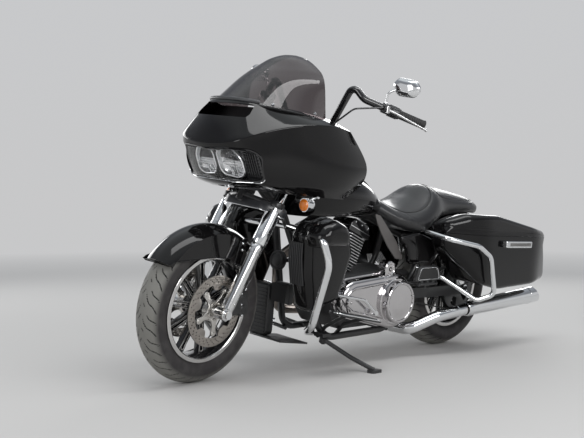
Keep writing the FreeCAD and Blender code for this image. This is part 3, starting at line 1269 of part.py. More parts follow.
os.makedirs("parts", exist_ok=True)
for name, shape in sorted(placed.items()):
    shape.Placement = shift.multiply(shape.Placement)
    shape.exportStep("parts/" + name + ".step")
    print(name, len(shape.Solids), "solids", round(shape.Volume / 1000.0, 1), "cc", shape.isValid())
print("nodes", len(placed), "pitch", round(pitch, 4), "drop", round(rear_low, 3), "shift", shift.Base)
print("size", max(xs) - min(xs), max(ys) - min(ys), max(spot.z for spot in spots))
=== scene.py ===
import bmesh
import bpy
import math
from mathutils import Matrix, Vector
from mathutils.bvhtree import BVHTree


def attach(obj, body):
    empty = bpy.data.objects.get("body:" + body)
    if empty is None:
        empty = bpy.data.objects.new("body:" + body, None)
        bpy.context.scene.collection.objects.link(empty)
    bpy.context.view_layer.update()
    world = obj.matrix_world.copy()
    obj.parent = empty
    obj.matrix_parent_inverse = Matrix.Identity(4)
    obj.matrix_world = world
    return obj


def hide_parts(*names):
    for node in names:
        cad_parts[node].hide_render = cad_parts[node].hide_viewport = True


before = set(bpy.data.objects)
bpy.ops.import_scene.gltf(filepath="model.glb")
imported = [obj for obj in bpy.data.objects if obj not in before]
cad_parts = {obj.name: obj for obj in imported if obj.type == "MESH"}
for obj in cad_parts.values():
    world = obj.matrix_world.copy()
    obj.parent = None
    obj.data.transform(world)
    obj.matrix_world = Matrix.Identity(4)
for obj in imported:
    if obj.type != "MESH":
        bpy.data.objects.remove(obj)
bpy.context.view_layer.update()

# How the machine stands. Every piece is drawn upright and straight, in millimetres, with X forward, Y to the
# rider's left and the floor at nought. It then leans on its side stand, with the bars turned a little left.

AXLE_Z = 320.0
FRONT_X = 812.5
REAR_X = -812.5
FRONT_AXLE = (FRONT_X, 0, AXLE_Z)
REAR_AXLE = (REAR_X, 0, AXLE_Z)
RAKE = 26.0
LEAN = 6.55
BARS_TURNED = 6.35


def swing(point, axis, degrees):
    """A turn about an axis through a point."""
    spot = Vector(point)
    return Matrix.Translation(spot) @ Matrix.Rotation(
        math.radians(degrees), 4, Vector(axis)) @ Matrix.Translation(-spot)


rake = math.radians(RAKE)
tipped = swing((0, 0, 0.070), (1, 0, 0), -LEAN)
levelled = swing(tipped @ Vector((-0.8125, 0, 0.320)), (0, 1, 0), 0.0722)
PARKED = Matrix.Translation((0.08684, -0.09720, 0.0002)) @ levelled @ tipped
STEERED = PARKED @ swing((0.9855, 0, 0), (-math.sin(rake), 0, math.cos(rake)), BARS_TURNED)

# The camera stands off the left front corner, a little above the axles, with a short telephoto lens, as in
# the photograph.


def stand(name, data):
    """An object of its own in the scene."""
    made = bpy.data.objects.new(name, data)
    bpy.context.collection.objects.link(made)
    return made


heading = math.radians(44.44)
dip = math.radians(0.97)
look = Vector((-math.sin(heading) * math.cos(dip), -math.cos(heading) * math.cos(dip), -math.sin(dip)))
across = Vector((-math.cos(heading), math.sin(heading), 0))
camera = stand("camera", bpy.data.cameras.new("camera"))
aim = Matrix((across, across.cross(look), -look)).transposed().to_4x4()
camera.matrix_world = Matrix.Translation((3.5400, 3.1717, 0.7483)) @ aim @ Matrix.Rotation(-0.0027, 4, "Z")
camera.data.sensor_width = 36.0
camera.data.lens = 62.08
camera.data.clip_end = 60.0
bpy.context.scene.camera = camera

# A pale studio floor, with soft boxes overhead and at the sides, and a pale surround for the chrome to show.


def node(tree, kind, operation=None, **values):
    """A shader node with some of its inputs set, a low dash in a name for each space."""
    made = tree.nodes.new("ShaderNode" + kind)
    if operation:
        made.operation = operation
    for name, value in values.items():
        made.inputs[name.replace("_", " ")].default_value = value
    return made


def two_tones(tree, low, low_colour, high, high_colour):
    """A ramp from one colour to another."""
    made = node(tree, "ValToRGB")
    for step, place, colour in zip(made.color_ramp.elements, (low, high), (low_colour, high_colour)):
        step.position = place
        step.color = tuple(colour) + (1,)
    return made


def wire(tree, *runs):
    """Links, each given as a node, its output, the next node and its input."""
    for start, out, end, into in runs:
        tree.links.new(start.outputs[out], end.inputs[into])


def new_material(name):
    """A material's node tree and its shader, to be wired up."""
    made = bpy.data.materials.new(name)
    made.use_nodes = True
    return made, made.node_tree, made.node_tree.nodes["Principled BSDF"]


studio, tree, paper = new_material("studio_floor")
paper.inputs["Roughness"].default_value = 0.85
grain = node(tree, "TexNoise", Scale=1.3, Detail=5.0)
cloudy = two_tones(tree, 0.3, (0.50, 0.49, 0.48), 0.7, (0.55, 0.54, 0.53))
spot = node(tree, "TexCoord")
reach = node(tree, "VectorMath", "LENGTH")
fade = node(tree, "MapRange", From_Min=3.0, From_Max=11.0)
ray = node(tree, "LightPath")
seen = node(tree, "Math", "MAXIMUM")
seen_too = node(tree, "Math", "MAXIMUM")
share = node(tree, "Math", "MULTIPLY")
distant = node(tree, "Emission", Color=(0.575, 0.577, 0.583, 1))
ground = node(tree, "MixShader")
wire(tree, (grain, "Fac", cloudy, "Fac"), (cloudy, "Color", paper, "Base Color"), (spot, "Object", reach, 0),
     (reach, "Value", fade, "Value"), (ray, "Is Camera Ray", seen, 0), (ray, "Is Glossy Ray", seen, 1),
     (seen, 0, seen_too, 0), (ray, "Is Transmission Ray", seen_too, 1), (fade, "Result", share, 0),
     (seen_too, 0, share, 1), (share, 0, ground, "Fac"), (paper, "BSDF", ground, 1),
     (distant, "Emission", ground, 2), (ground, "Shader", tree.nodes["Material Output"], "Surface"))
floor_mesh = bpy.data.meshes.new("floor")
floor_mesh.from_pydata([(-40, -40, 0), (40, -40, 0), (40, 40, 0), (-40, 40, 0)], [], [(0, 1, 2, 3)])
floor_mesh.materials.append(studio)
floor = stand("floor", floor_mesh)

soft_boxes = (
    # place, width, height, power
    ((1.4, 5.2, 2.6), 4.0, 1.6, 125),
    ((5.6, 0.6, 1.8), 1.6, 2.2, 44),
    ((0.4, 1.4, 5.0), 5.0, 1.6, 95),
    ((-4.4, -2.4, 2.8), 2.2, 1.8, 55),
    ((0.8, -5.2, 2.4), 3.6, 1.6, 60),
)
for number, (spot, width, height, power) in enumerate(soft_boxes):
    lamp = stand(f"soft_box_{number}", bpy.data.lights.new(f"soft_box_{number}", "AREA"))
    lamp.data.shape = "RECTANGLE"
    lamp.data.size = width
    lamp.data.size_y = height
    lamp.data.energy = power
    lamp.location = spot
    lamp.rotation_euler = (Vector((0, 0, 0.7)) - Vector(spot)).to_track_quat("-Z", "Y").to_euler()

world = bpy.data.worlds.new("studio_air")
world.use_nodes = True
bpy.context.scene.world = world
air = world.node_tree
where = node(air, "TexCoord")
parts = node(air, "SeparateXYZ")
rising = node(air, "ValToRGB")
for place, colour in ((0.0, (0.799, 0.801, 0.810)), (0.26, (0.80, 0.81, 0.83)),
                      (0.38, (0.30, 0.31, 0.33)), (0.58, (0.34, 0.36, 0.40)), (0.80, (0.92, 0.97, 1.0))):
    step = rising.color_ramp.elements.new(place)
    step.color = colour + (1,)
rising.color_ramp.elements.remove(rising.color_ramp.elements[0])
rising.color_ramp.elements[-1].color = (0.92, 0.97, 1.0, 1)
wire(air, (where, "Generated", parts, "Vector"), (parts, "Z", rising, "Fac"),
     (rising, "Color", air.nodes["Background"], "Color"))
air.nodes["Background"].inputs["Strength"].default_value = 0.72
bpy.context.scene.view_settings.view_transform = "Standard"

# Frame and swingarm: welded steel tube and box section, powder-coated satin black. The neck, backbone, twin
# cradle tubes, rear rails and the bars that carry the bags and boards are one weldment.


def finish_of(name, colour, roughness, metallic=0.0, coat=0.0, bump=0.05, texture=400.0, uneven=0.15):
    """A painted, plated or moulded finish, with a fine surface and a slight unevenness of its own."""
    made, tree, shader = new_material(name)
    shader.inputs["Metallic"].default_value = metallic
    shader.inputs["Coat Weight"].default_value = coat
    shader.inputs["Coat Roughness"].default_value = 0.02
    place = node(tree, "TexCoord")
    speck = node(tree, "TexNoise", Scale=texture, Detail=4.0)
    cloud = node(tree, "TexNoise", Scale=7.0, Detail=6.0)
    tone = two_tones(
        tree, 0.3, [c * (1 - uneven) for c in colour], 0.7, [min(1, c * (1 + uneven)) for c in colour])
    rub = node(tree, "MapRange", To_Min=roughness * 0.75, To_Max=roughness * 1.25)
    ripple = node(tree, "Bump", Strength=bump, Distance=0.0005)
    wire(
        tree, (place, "Object", speck, "Vector"), (place, "Object", cloud, "Vector"),
        (cloud, "Fac", tone, "Fac"), (cloud, "Fac", rub, "Value"), (tone, "Color", shader, "Base Color"),
        (rub, "Result", shader, "Roughness"), (speck, "Fac", ripple, "Height"),
        (ripple, "Normal", shader, "Normal"))
    return made


def dress(material, *names):
    """Pieces that keep their own solids, in their real finish."""
    for name in names:
        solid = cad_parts[name].data
        solid.materials.clear()
        solid.materials.append(material)


powder_coat = finish_of("powder_coat_black", (0.016, 0.016, 0.017), 0.36, coat=0.2, bump=0.15)
dress(powder_coat, "frame", "swingarm")

# Engine cases: sand-cast alloy halves in black wrinkle paint, bolted into the cradle and hidden for the most
# part behind the side covers.

wrinkle_black = finish_of("wrinkle_black", (0.020, 0.020, 0.021), 0.55, bump=0.6, texture=900.0)
dress(wrinkle_black, "engine_cases", "air_cleaner")

# Cylinders: two finned barrels in a narrow V, cast in alloy and painted black, with the edges of the fins
# machined bright. Each fin is a plate with clipped corners round the barrel.

MM = 0.001


def rounded(points, closed=False):
    """A smooth line through corner points (x, y, z, radius of that corner)."""
    spots = [Vector(p[:3]) for p in points]
    count = len(spots)
    line = []
    for i, spot in enumerate(spots):
        radius = points[i][3] if len(points[i]) > 3 else 0.0
        if radius <= 0 or (not closed and i in (0, count - 1)):
            line.append(spot)
            continue
        back = spots[i - 1] - spot
        ahead = spots[(i + 1) % count] - spot
        room = 0.499 * min(back.length, ahead.length)
        back.normalize()
        ahead.normalize()
        half = back.angle(ahead) / 2
        if half > 1.565:
            line.append(spot)
            continue
        reach = min(radius / math.tan(half), room)
        radius = reach * math.tan(half)
        centre = spot + (back + ahead).normalized() * (radius / math.sin(half))
        start = (spot + back * reach - centre) / radius
        end = (spot + ahead * reach - centre) / radius
        sweep = math.pi - 2 * half
        across = (end - start * math.cos(sweep)) / math.sin(sweep)
        steps = max(2, math.ceil(sweep / math.radians(8)))
        for k in range(steps + 1):
            turn = sweep * k / steps
            line.append(centre + (start * math.cos(turn) + across * math.sin(turn)) * radius)
    return line


def flat_outline(points):
    """A closed outline from (u, v, radius of that corner) points."""
    return rounded([(p[0], p[1], 0.0) + tuple(p[2:]) for p in points], True)


def polar(radius, angle, u=0.0, v=0.0):
    """A point round a centre, by its distance and its angle."""
    return Vector((u + radius * math.cos(angle), v + radius * math.sin(angle), 0))


def circle(u, v, radius, sides=48):
    return [polar(radius, 2 * math.pi * i / sides, u, v) for i in range(sides)]


def rectangle(u0, v0, u1, v1, radius):
    return flat_outline(((u0, v0, radius), (u1, v0, radius), (u1, v1, radius), (u0, v1, radius)))


def plate(outlines, thickness, edge=0.0, rounds=2):
    """A flat piece cut to outlines, given as points or as corners with a radius, standing up from nought."""
    curve = bpy.data.curves.new("cutting", "CURVE")
    curve.dimensions = "2D"
    curve.fill_mode = "BOTH"
    curve.extrude = thickness / 2 - edge
    curve.bevel_depth = edge
    curve.bevel_resolution = rounds
    curve.offset = -edge
    for outline in outlines:
        if not isinstance(outline[0], Vector):
            outline = flat_outline(outline)
        spline = curve.splines.new("POLY")
        spline.points.add(len(outline) - 1)
        spline.use_cyclic_u = True
        for point, spot in zip(spline.points, outline):
            point.co = (spot.x, spot.y, 0, 1)
    holder = bpy.data.objects.new("cutting", curve)
    mesh = bpy.data.meshes.new_from_object(holder)
    verts = [v.co + Vector((0, 0, thickness / 2)) for v in mesh.vertices]
    faces = [tuple(p.vertices) for p in mesh.polygons]
    bpy.data.objects.remove(holder)
    bpy.data.curves.remove(curve)
    bpy.data.meshes.remove(mesh)
    return verts, faces, [0] * len(faces)


def spun(profile, sides=96, closed=False):
    """A profile of (along, radius) points turned round the Y axis."""
    verts = []
    rings = []
    for along, radius in profile:
        if radius < 1e-6:
            rings.append([len(verts)] * sides)
            verts.append(Vector((0, along, 0)))
            continue
        rings.append(range(len(verts), len(verts) + sides))
        for i in range(sides):
            angle = 2 * math.pi * i / sides
            verts.append(Vector((radius * math.cos(angle), along, radius * math.sin(angle))))
    faces = []
    pairs = list(zip(rings, rings[1:]))
    if closed:
        pairs.append((rings[-1], rings[0]))
    for near, far in pairs:
        for i in range(sides):
            j = (i + 1) % sides
            corner = [near[i], near[j], far[j], far[i]]
            faces.append(tuple(dict.fromkeys(corner)))
    return verts, faces, [0] * len(faces)


def tube(line, radius, sides=20, flat=1.0):
    """A round bar along a line, with closed ends; radius is one number or one for each point."""
    count = len(line)
    radii = radius if isinstance(radius, (list, tuple)) else [radius] * count
    verts = []
    way = (line[1] - line[0]).normalized()
    up = way.orthogonal().normalized()
    for i, spot in enumerate(line):
        ahead = (line[min(i + 1, count - 1)] - line[max(i - 1, 0)]).normalized()
        up = (up - ahead * up.dot(ahead)).normalized()
        side = ahead.cross(up)
        for k in range(sides):
            angle = 2 * math.pi * k / sides
            verts.append(spot + (up * math.cos(angle) + side * math.sin(angle) * flat) * radii[i])
    faces = []
    for i in range(count - 1):
        for k in range(sides):
            m = (k + 1) % sides
            faces.append((i * sides + k, i * sides + m, (i + 1) * sides + m, (i + 1) * sides + k))
    faces.append(tuple(range(sides))[::-1])
    faces.append(tuple(range((count - 1) * sides, count * sides)))
    return verts, faces, [0] * len(faces)


def loft(rings, ends=True, closed=True):
    """A skin over rings that have the same number of points."""
    count = len(rings[0])
    verts = [Vector(v) for ring in rings for v in ring]
    faces = []
    for i in range(len(rings) - 1):
        for k in range(count if closed else count - 1):
            m = (k + 1) % count
            faces.append((i * count + k, i * count + m, (i + 1) * count + m, (i + 1) * count + k))
    if ends:
        faces.append(tuple(range(count))[::-1])
        faces.append(tuple(range((len(rings) - 1) * count, len(rings) * count)))
    return verts, faces, [0] * len(faces)


def joined(*shapes):
    verts = []
    faces = []
    marks = []
    for shape in shapes:
        first = len(verts)
        verts += shape[0]
        faces += [tuple(first + i for i in face) for face in shape[1]]
        marks += shape[2]
    return verts, faces, marks


def moved(shape, matrix):
    return [matrix @ v for v in shape[0]], shape[1], shape[2]


def shifted(shape, x, y, z):
    return moved(shape, Matrix.Translation((x, y, z)))


def turned(shape, point, axis, degrees):
    return moved(shape, swing(point, axis, degrees))


def tilted(shape, degrees):
    """The shape turned about the machine's cross axis, where it stands at nought."""
    return turned(shape, (0, 0, 0), (0, 1, 0), degrees)


def in_finish(shape, number):
    """The shape in the piece's second or a later finish."""
    return shape[0], shape[1], [number] * len(shape[1])


def other_side(shape):
    """The same shape on the machine's right."""
    return [Vector((v.x, -v.y, v.z)) for v in shape[0]], [face[::-1] for face in shape[1]], shape[2]


def both_sides(shape):
    return joined(shape, other_side(shape))


ON_SIDE = Matrix(((1, 0, 0, 0), (0, 0, -1, 0), (0, 1, 0, 0), (0, 0, 0, 1)))
ON_FRONT = Matrix(((0, 0, 1, 0), (1, 0, 0, 0), (0, 1, 0, 0), (0, 0, 0, 1)))


def side_plate(outlines, low, high, edge=0.0, rounds=2):
    """A plate drawn as (x, z) and standing between two distances from the centre plane."""
    stood = moved(plate(outlines, high - low, edge, rounds), ON_SIDE)
    return shifted(stood, 0, high, 0)


def front_plate(outlines, low, high, edge=0.0, rounds=2):
    """A plate drawn as (y, z) and standing across the machine between two distances forward."""
    return shifted(moved(plate(outlines, high - low, edge, rounds), ON_FRONT), low, 0, 0)


def level_plate(outlines, low, high, edge=0.0, rounds=2):
    return shifted(plate(outlines, high - low, edge, rounds), 0, 0, low)


def along(start, end, profile, sides=32):
    """A profile of (along, radius) points turned round the line from one point to another."""
    a = Vector(start)
    way = Vector(end) - a
    upright = way.to_track_quat("Y", "Z").to_matrix().to_4x4()
    return moved(spun(profile, sides), Matrix.Translation(a) @ upright)


def bar(start, end, radius, edge=1.0, sides=32):
    """A short round bar with softened ends."""
    long = (Vector(end) - Vector(start)).length
    return along(
        start, end,
        ((0, 0), (0, radius - edge), (edge, radius), (long - edge, radius), (long, radius - edge), (long, 0)),
        sides)


def bolt(spot, way, radius=6.0, height=5.0):
    """A domed bolt head with a socket, standing on a face."""
    end = Vector(spot) + Vector(way).normalized() * height
    return along(spot, end, ((0, 0), (0, radius), (height * 0.7, radius), (height, radius * 0.8),
                             (height, radius * 0.45), (height * 0.5, radius * 0.4), (height * 0.5, 0)), 12)


def clean_mesh(name, shape, origin=(0, 0, 0), weld=2e-6):
    """A shape in metres from its origin, with doubled points joined and its faces turned outwards."""
    mesh = bpy.data.meshes.new(name)
    start = Vector(origin)
    mesh.from_pydata([(v - start) * MM for v in shape[0]], [], shape[1])
    mesh.polygons.foreach_set("material_index", shape[2])
    form = bmesh.new()
    form.from_mesh(mesh)
    bmesh.ops.remove_doubles(form, verts=form.verts, dist=weld)
    bmesh.ops.recalc_face_normals(form, faces=form.faces)
    form.to_mesh(mesh)
    form.free()
    return mesh


def piece(name, shape, finishes, nodes=(), body="chassis", origin=(0, 0, 0), angle=32.0):
    """A finished piece on its body, standing where the parked machine has it."""
    made = stand(name, clean_mesh(name, shape, origin))
    for finish in finishes if isinstance(finishes, (list, tuple)) else [finishes]:
        made.data.materials.append(finish)
    stance = STEERED if body in ("fork", "front_wheel") else PARKED
    made.matrix_world = stance @ Matrix.Translation(Vector(origin) * MM)
    made.data.shade_smooth()
    made.data.set_sharp_from_angle(angle=math.radians(angle))
    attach(made, body)
    if nodes:
        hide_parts(*nodes)
    return made


CRANK_X = 50.0
CRANK_Z = 325.0
V_ANGLE = 22.5
fin_black = finish_of("fin_black", (0.016, 0.016, 0.017), 0.48, bump=0.3, texture=700.0)
fin_edge = finish_of("fin_edge_machined", (0.62, 0.62, 0.63), 0.28, metallic=1.0, bump=0.1, texture=600.0)


def on_cylinder(shape, lean):
    return shifted(tilted(shape, lean), CRANK_X, 0, CRANK_Z)


FIN_BASE = 132
FIN_STEP = 13.17


def finned_barrel(lean):
    """One barrel with 13 fins, those of the other barrel's side cut off where the two meet."""
    parts = [shifted(plate([circle(0, 0, 52)], 182), 0, 0, 120)]
    for i in range(13):
        wide = 74.0 - (10.0 if i < 3 else 0.0)
        deep = 70.0 - (8.0 if i < 3 else 0.0)
        rim = flat_outline((
            (wide, deep - 26, 6), (wide - 26, deep, 6), (26 - wide, deep, 6), (-wide, deep - 26, 6),
            (-wide, 26 - deep, 6), (26 - wide, -deep, 6), (wide - 26, -deep, 6), (wide, 26 - deep, 6)))
        verts, faces, _ = plate([rim], 4.0, 0.6, 1)
        marks = [1 if abs((verts[f[0]] - verts[f[2]]).z) > 0.3 else 0 for f in faces]
        height = FIN_BASE + FIN_STEP * i
        meet = 0.414 * height
        if lean > 0:
            verts = [Vector((max(v.x, -meet), v.y, v.z)) for v in verts]
        else:
            verts = [Vector((min(v.x, meet), v.y, v.z)) for v in verts]
        parts.append(shifted((verts, faces, marks), 0, 0, height))
    for x in (-44, 44):
        for y in (-44, 44):
            parts.append(bar((x, y, 124), (x, y, 306), 7))
    return on_cylinder(joined(*parts), lean)


port = [
    on_cylinder(bar((sign * 30, -30, 272), (sign * 92, -58, 272), 24), sign * V_ANGLE) for sign in (1, -1)]
piece(
    "finned_cylinders", joined(finned_barrel(V_ANGLE), finned_barrel(-V_ANGLE), *port), [fin_black, fin_edge],
    ["cylinders"])

# Rocker covers: cast alloy boxes bolted down on the two heads, painted gloss black, each with a machined
# joint line and six domed bolts.

gloss_cover = finish_of("rocker_gloss_black", (0.010, 0.010, 0.011), 0.16, coat=0.8, bump=0.05)
chrome = finish_of(
    "chrome_plate", (0.82, 0.83, 0.84), 0.055, metallic=1.0, bump=0.015, texture=60.0, uneven=0.03)
rocker_outline = flat_outline((
    (-72, 302.3, 4), (72, 302.3, 4), (70, 344, 14), (52, 368, 16), (-52, 368, 16), (-70, 344, 14)))
rocker = side_plate([rocker_outline], -64, 64, 7, 4)
lower_box = side_plate([rectangle(-73, 303, 73, 326, 3)], -66, 66, 2)
seam = in_finish(side_plate([rectangle(-74, 324, 74, 328, 1)], -67, 67, 0.5), 1)
rocker_bolts = [in_finish(bolt((x, s * 64, 352), (0, s, 0), 5, 4), 1) for x in (-48, 0, 48) for s in (1, -1)]
rockers = [on_cylinder(joined(rocker, lower_box, seam, *rocker_bolts), lean) for lean in (V_ANGLE, -V_ANGLE)]
piece("rocker_covers_black", joined(*rockers), [gloss_cover, chrome], ["rocker_covers"])

# Primary cover: the big chrome casting over the drive to the clutch, with a round clutch cover on five
# screws, a raised rib round its face and the chrome starter end cover behind the barrels.

CLUTCH = (-230.0, 300.0)


def belt_outline(xa, za, ra, xb, zb, rb, sides=40):
    """The outline round two circles, as a belt would lie."""
    span = math.hypot(xb - xa, zb - za)
    heading_angle = math.atan2(zb - za, xb - xa)
    lift = math.acos((ra - rb) / span)
    spots = []
    for x, z, r, low, high in ((xb, zb, rb, heading_angle - lift, heading_angle + lift),
                               (xa, za, ra, heading_angle + lift, heading_angle - lift + 2 * math.pi)):
        for k in range(sides + 1):
            spots.append(polar(r, low + (high - low) * k / sides, x, z))
    return spots


def primary_outline(inset):
    return belt_outline(CRANK_X, CRANK_Z, 94 - inset, *CLUTCH, 138 - inset)


primary_rings = []
for inset, y in (
        (0, 122.3), (0, 129), (2, 131), (6, 131.5), (6, 160), (7, 168), (10, 175), (15, 180), (21, 183),
        (30, 185.5), (32, 187.5), (36, 189.5), (40, 189.5), (44, 187.5), (47, 185.5), (60, 186.2)):
    primary_rings.append([(v.x, y, v.y) for v in primary_outline(inset)])
primary = loft(primary_rings)
derby_profile = (
    (180, 100), (214, 100), (219, 98.5), (222, 95), (222.5, 90), (221, 86), (217.5, 84.5), (217, 82),
    (219.5, 60), (221, 30), (221.5, 0))
derby = shifted(spun(derby_profile), CLUTCH[0], 0, CLUTCH[1])
derby_seat = shifted(spun(((178, 112), (188, 112), (192, 108), (192, 98))), CLUTCH[0], 0, CLUTCH[1])
screws = []
for i in range(5):
    angle = math.radians(90 + 72 * i)
    screws.append(
        bolt((CLUTCH[0] + 90 * math.cos(angle), 221, CLUTCH[1] + 90 * math.sin(angle)), (0, 1, 0), 5.5, 3.5))
rim_screws = []
for spot in primary_outline(-1)[4::9]:
    rim_screws.append(bar((spot.x, 122.5, spot.y), (spot.x, 134, spot.y), 8, 1.5, 16))
starter = joined(
    shifted(
        spun(((122.3, 40), (160, 40), (167, 38), (171, 33), (172, 26), (168, 22), (168, 0))), -196, 0, 452),
    bolt((-196, 168, 452), (0, 1, 0), 6, 4))
oil_cap = joined(
    shifted(spun(((180, 24), (196, 24), (200, 21), (201, 0))), 96, 0, 318),
    bolt((96, 200, 318), (0, 1, 0), 7, 3))
primary_plate = finish_of(
    "primary_plate", (0.60, 0.585, 0.59), 0.085, metallic=1.0, bump=0.015, texture=60.0, uneven=0.05)
piece(
    "primary_chrome", joined(primary, derby_seat, derby, starter, oil_cap, *screws, *rim_screws),
    primary_plate, ["primary_cover"], angle=24)

# Cam cover, pushrod tubes and air cleaner: a cast cover with ten screws on the right of the cases, chromed
# like the four telescopic tubes above it, and a round black air cleaner between the heads.

cam_ring = shifted(
    spun(((-104.4, 92), (-138, 92), (-143, 90), (-146, 85), (-144, 74), (-144, 50), (-146, 46), (-146, 0))),
    CRANK_X + 10, 0, 316)
cam_top = side_plate([((-30, 380, 20), (130, 380, 20), (120, 436, 16), (-10, 436, 16))], -138, -104.4, 4)
cam_screws = [
    bolt((60 + 84 * math.cos(math.radians(a)), -143, 316 + 84 * math.sin(math.radians(a))), (0, -1, 0), 5, 4)
    for a in range(0, 360, 36)]
rods = []
for sign in (1, -1):
    for base, top, high in ((22, 104, 300), (46, 140, 292)):
        foot = Vector((CRANK_X + 10 + sign * base, -122, 430))
        head = Vector((CRANK_X + sign * top, -86, CRANK_Z + high))
        rods.append(bar(foot, head, 10))
        for share in (0.06, 0.5, 0.94):
            at = foot.lerp(head, share)
            rods.append(bar(at, at + (head - foot).normalized() * 12, 13))
piece("cam_cover_chrome", joined(cam_ring, cam_top, *cam_screws, *rods), chrome, ["cam_cover"])
cleaner = shifted(
    spun(((-118, 84), (-120, 88), (-160, 88), (-168, 85), (-174, 76), (-176, 60), (-172, 56), (-172, 0))),
    CRANK_X - 6, 0, 560)
intake = bar((CRANK_X, -60, 560), (CRANK_X, -120, 560), 28)
piece("air_cleaner_black", joined(cleaner, intake), gloss_cover, ["air_cleaner"])

# Exhaust: welded steel headers under chrome shields and a long tapered chrome muffler on each side, its end
# cut at a slant over a dark inner pipe.

heat_steel = finish_of("header_steel", (0.35, 0.31, 0.28), 0.32, metallic=1.0, bump=0.1, uneven=0.25)
# Near black for the inner pipe and the cap deep inside the muffler's slanted end.
inner_pipe_black = finish_of("muffler_inside", (0.012, 0.011, 0.010), 0.8, bump=0.4)


def muffler():
    """The left muffler, with its end cut at a slant."""
    front = Vector((-664, 280, 246))
    rear = Vector((-1285, 280, 282))
    way = (rear - front).normalized()
    lift = way.cross(Vector((0, 1, 0))).normalized()
    side = Vector((0, 1, 0))
    rows = (
        (0, 30), (0.004, 35), (0.02, 36.4), (0.025, 37.5), (0.06, 37.8), (0.065, 36.6), (0.3, 38.6),
        (0.6, 41), (0.86, 43.2), (0.862, 44.6), (0.90, 44.8), (0.902, 43.8), (0.97, 44), (0.975, 41.5),
        (0.965, 40), (0.80, 37), (0.78, 0))
    rings = []
    sides = 64
    for share, radius in rows:
        ring = []
        for k in range(sides):
            angle = 2 * math.pi * k / sides
            offset = lift * math.sin(angle) * radius + side * math.cos(angle) * radius
            slant = -0.42 * offset.z if share > 0.95 else 0.0
            ring.append(front + (rear - front) * share + offset + way * slant)
        rings.append(ring)
    skin = loft(rings, ends=False)
    marks = [1 if i >= (len(rows) - 3) * sides else 0 for i in range(len(skin[1]))]
    return skin[0], skin[1], marks


piece("mufflers_chrome", both_sides(muffler()), [chrome, inner_pipe_black], ["mufflers"], angle=30)
left_line = rounded((
    (-372, -214, 190), (-346, -124, 150, 40), (-346, 188, 156, 60), (-470, 262, 224, 90), (-663, 280, 246)))
front_exit = on_cylinder(([Vector((88, -56, 272))], [], []), V_ANGLE)[0][0]
rear_exit = on_cylinder(([Vector((-88, -56, 272))], [], []), -V_ANGLE)[0][0]
right_line = rounded((tuple(front_exit), (268, -120, 480, 50), (190, -190, 230, 90), (-330, -210, 176, 120),
                      (-500, -264, 230, 90), (-663, -280, 246)))
rear_line = rounded((tuple(rear_exit), (-205, -150, 520, 40), (-250, -196, 300, 60), (-340, -212, 190)))
left_shield = rounded(((-346, 70, 151), (-346, 188, 156, 60), (-470, 262, 224, 90), (-652, 279, 245)))
right_shield = rounded(((-60, -197, 212), (-330, -210, 176, 120), (-500, -264, 230, 90), (-652, -279, 245)))
bands = [bar((-612, side * 275.1, 240.5), (-596, side * 273.7, 238.7), 31.5, 2) for side in (1, -1)]
shields = joined(tube(left_shield, 29, 32), tube(right_shield, 29, 32), *bands)
headers = joined(
    tube(left_line, 24, 28), tube(right_line, 24, 28), tube(rear_line, 24, 28), in_finish(shields, 1))
piece("header_pipes_steel", headers, [heat_steel, chrome], ["header_pipes"])

# Tyres: black rubber with a rounded tread that has picked up dust. Long curved sipes sweep from the shoulders
# towards the middle, their faces painted near black as painted shade in the grooves, and a fine ridge marks
# the sidewall.


def rubber_of(name):
    """Tyre rubber: dusty grey where it meets the road, darker on the sidewalls."""
    made, tree, shader = new_material(name)
    place = node(tree, "TexCoord")
    flat = node(tree, "VectorMath", "MULTIPLY")
    flat.inputs[1].default_value = (1, 0, 1)
    reach = node(tree, "VectorMath", "LENGTH")
    worn = node(tree, "MapRange", From_Min=0.278, From_Max=0.312)
    cloud = node(tree, "TexNoise", Scale=22.0, Detail=8.0)
    dust = node(tree, "Math", "MULTIPLY_ADD")
    dust.inputs[1].default_value = 0.35
    tone = two_tones(tree, 0.15, (0.026, 0.023, 0.024), 1.2 / 1.35, (0.175, 0.172, 0.158))
    speck = node(tree, "TexNoise", Scale=900.0)
    ripple = node(tree, "Bump", Strength=0.35, Distance=0.0006)
    wire(
        tree, (place, "Object", flat, 0), (flat, "Vector", reach, 0), (reach, "Value", worn, "Value"),
        (place, "Object", cloud, "Vector"), (cloud, "Fac", dust, 0), (worn, "Result", dust, 2),
        (dust, "Value", tone, "Fac"), (tone, "Color", shader, "Base Color"),
        (place, "Object", speck, "Vector"), (speck, "Fac", ripple, "Height"),
        (ripple, "Normal", shader, "Normal"))
    shader.inputs["Roughness"].default_value = 0.62
    return made


def arc_through(a, b, c, steps):
    """Points along the arc through three points in a plane."""
    ax, ay = a
    bx, by = b
    cx, cy = c
    d = 2 * (ax * (by - cy) + bx * (cy - ay) + cx * (ay - by))
    if abs(d) < 1e-6:
        return [(ax + (cx - ax) * k / steps, ay + (cy - ay) * k / steps) for k in range(steps + 1)]
    ux = (
        (ax * ax + ay * ay) * (by - cy) + (bx * bx + by * by) * (cy - ay)
        + (cx * cx + cy * cy) * (ay - by)) / d
    uy = (
        (ax * ax + ay * ay) * (cx - bx) + (bx * bx + by * by) * (ax - cx)
        + (cx * cx + cy * cy) * (bx - ax)) / d
    radius = math.hypot(ax - ux, ay - uy)
    start = math.atan2(ay - uy, ax - ux)
    middle = math.atan2(by - uy, bx - ux) - start
    end = math.atan2(cy - uy, cx - ux) - start
    middle %= 2 * math.pi
    end %= 2 * math.pi
    if middle > end:
        end -= 2 * math.pi
    return [(ux + radius * math.cos(start + end * k / steps), uy + radius * math.sin(start + end * k / steps))
            for k in range(steps + 1)]


TYRE_R = 320.0
SIPE_DEPTH = 3.6
RIDGE = 0.9
AROUND = 900


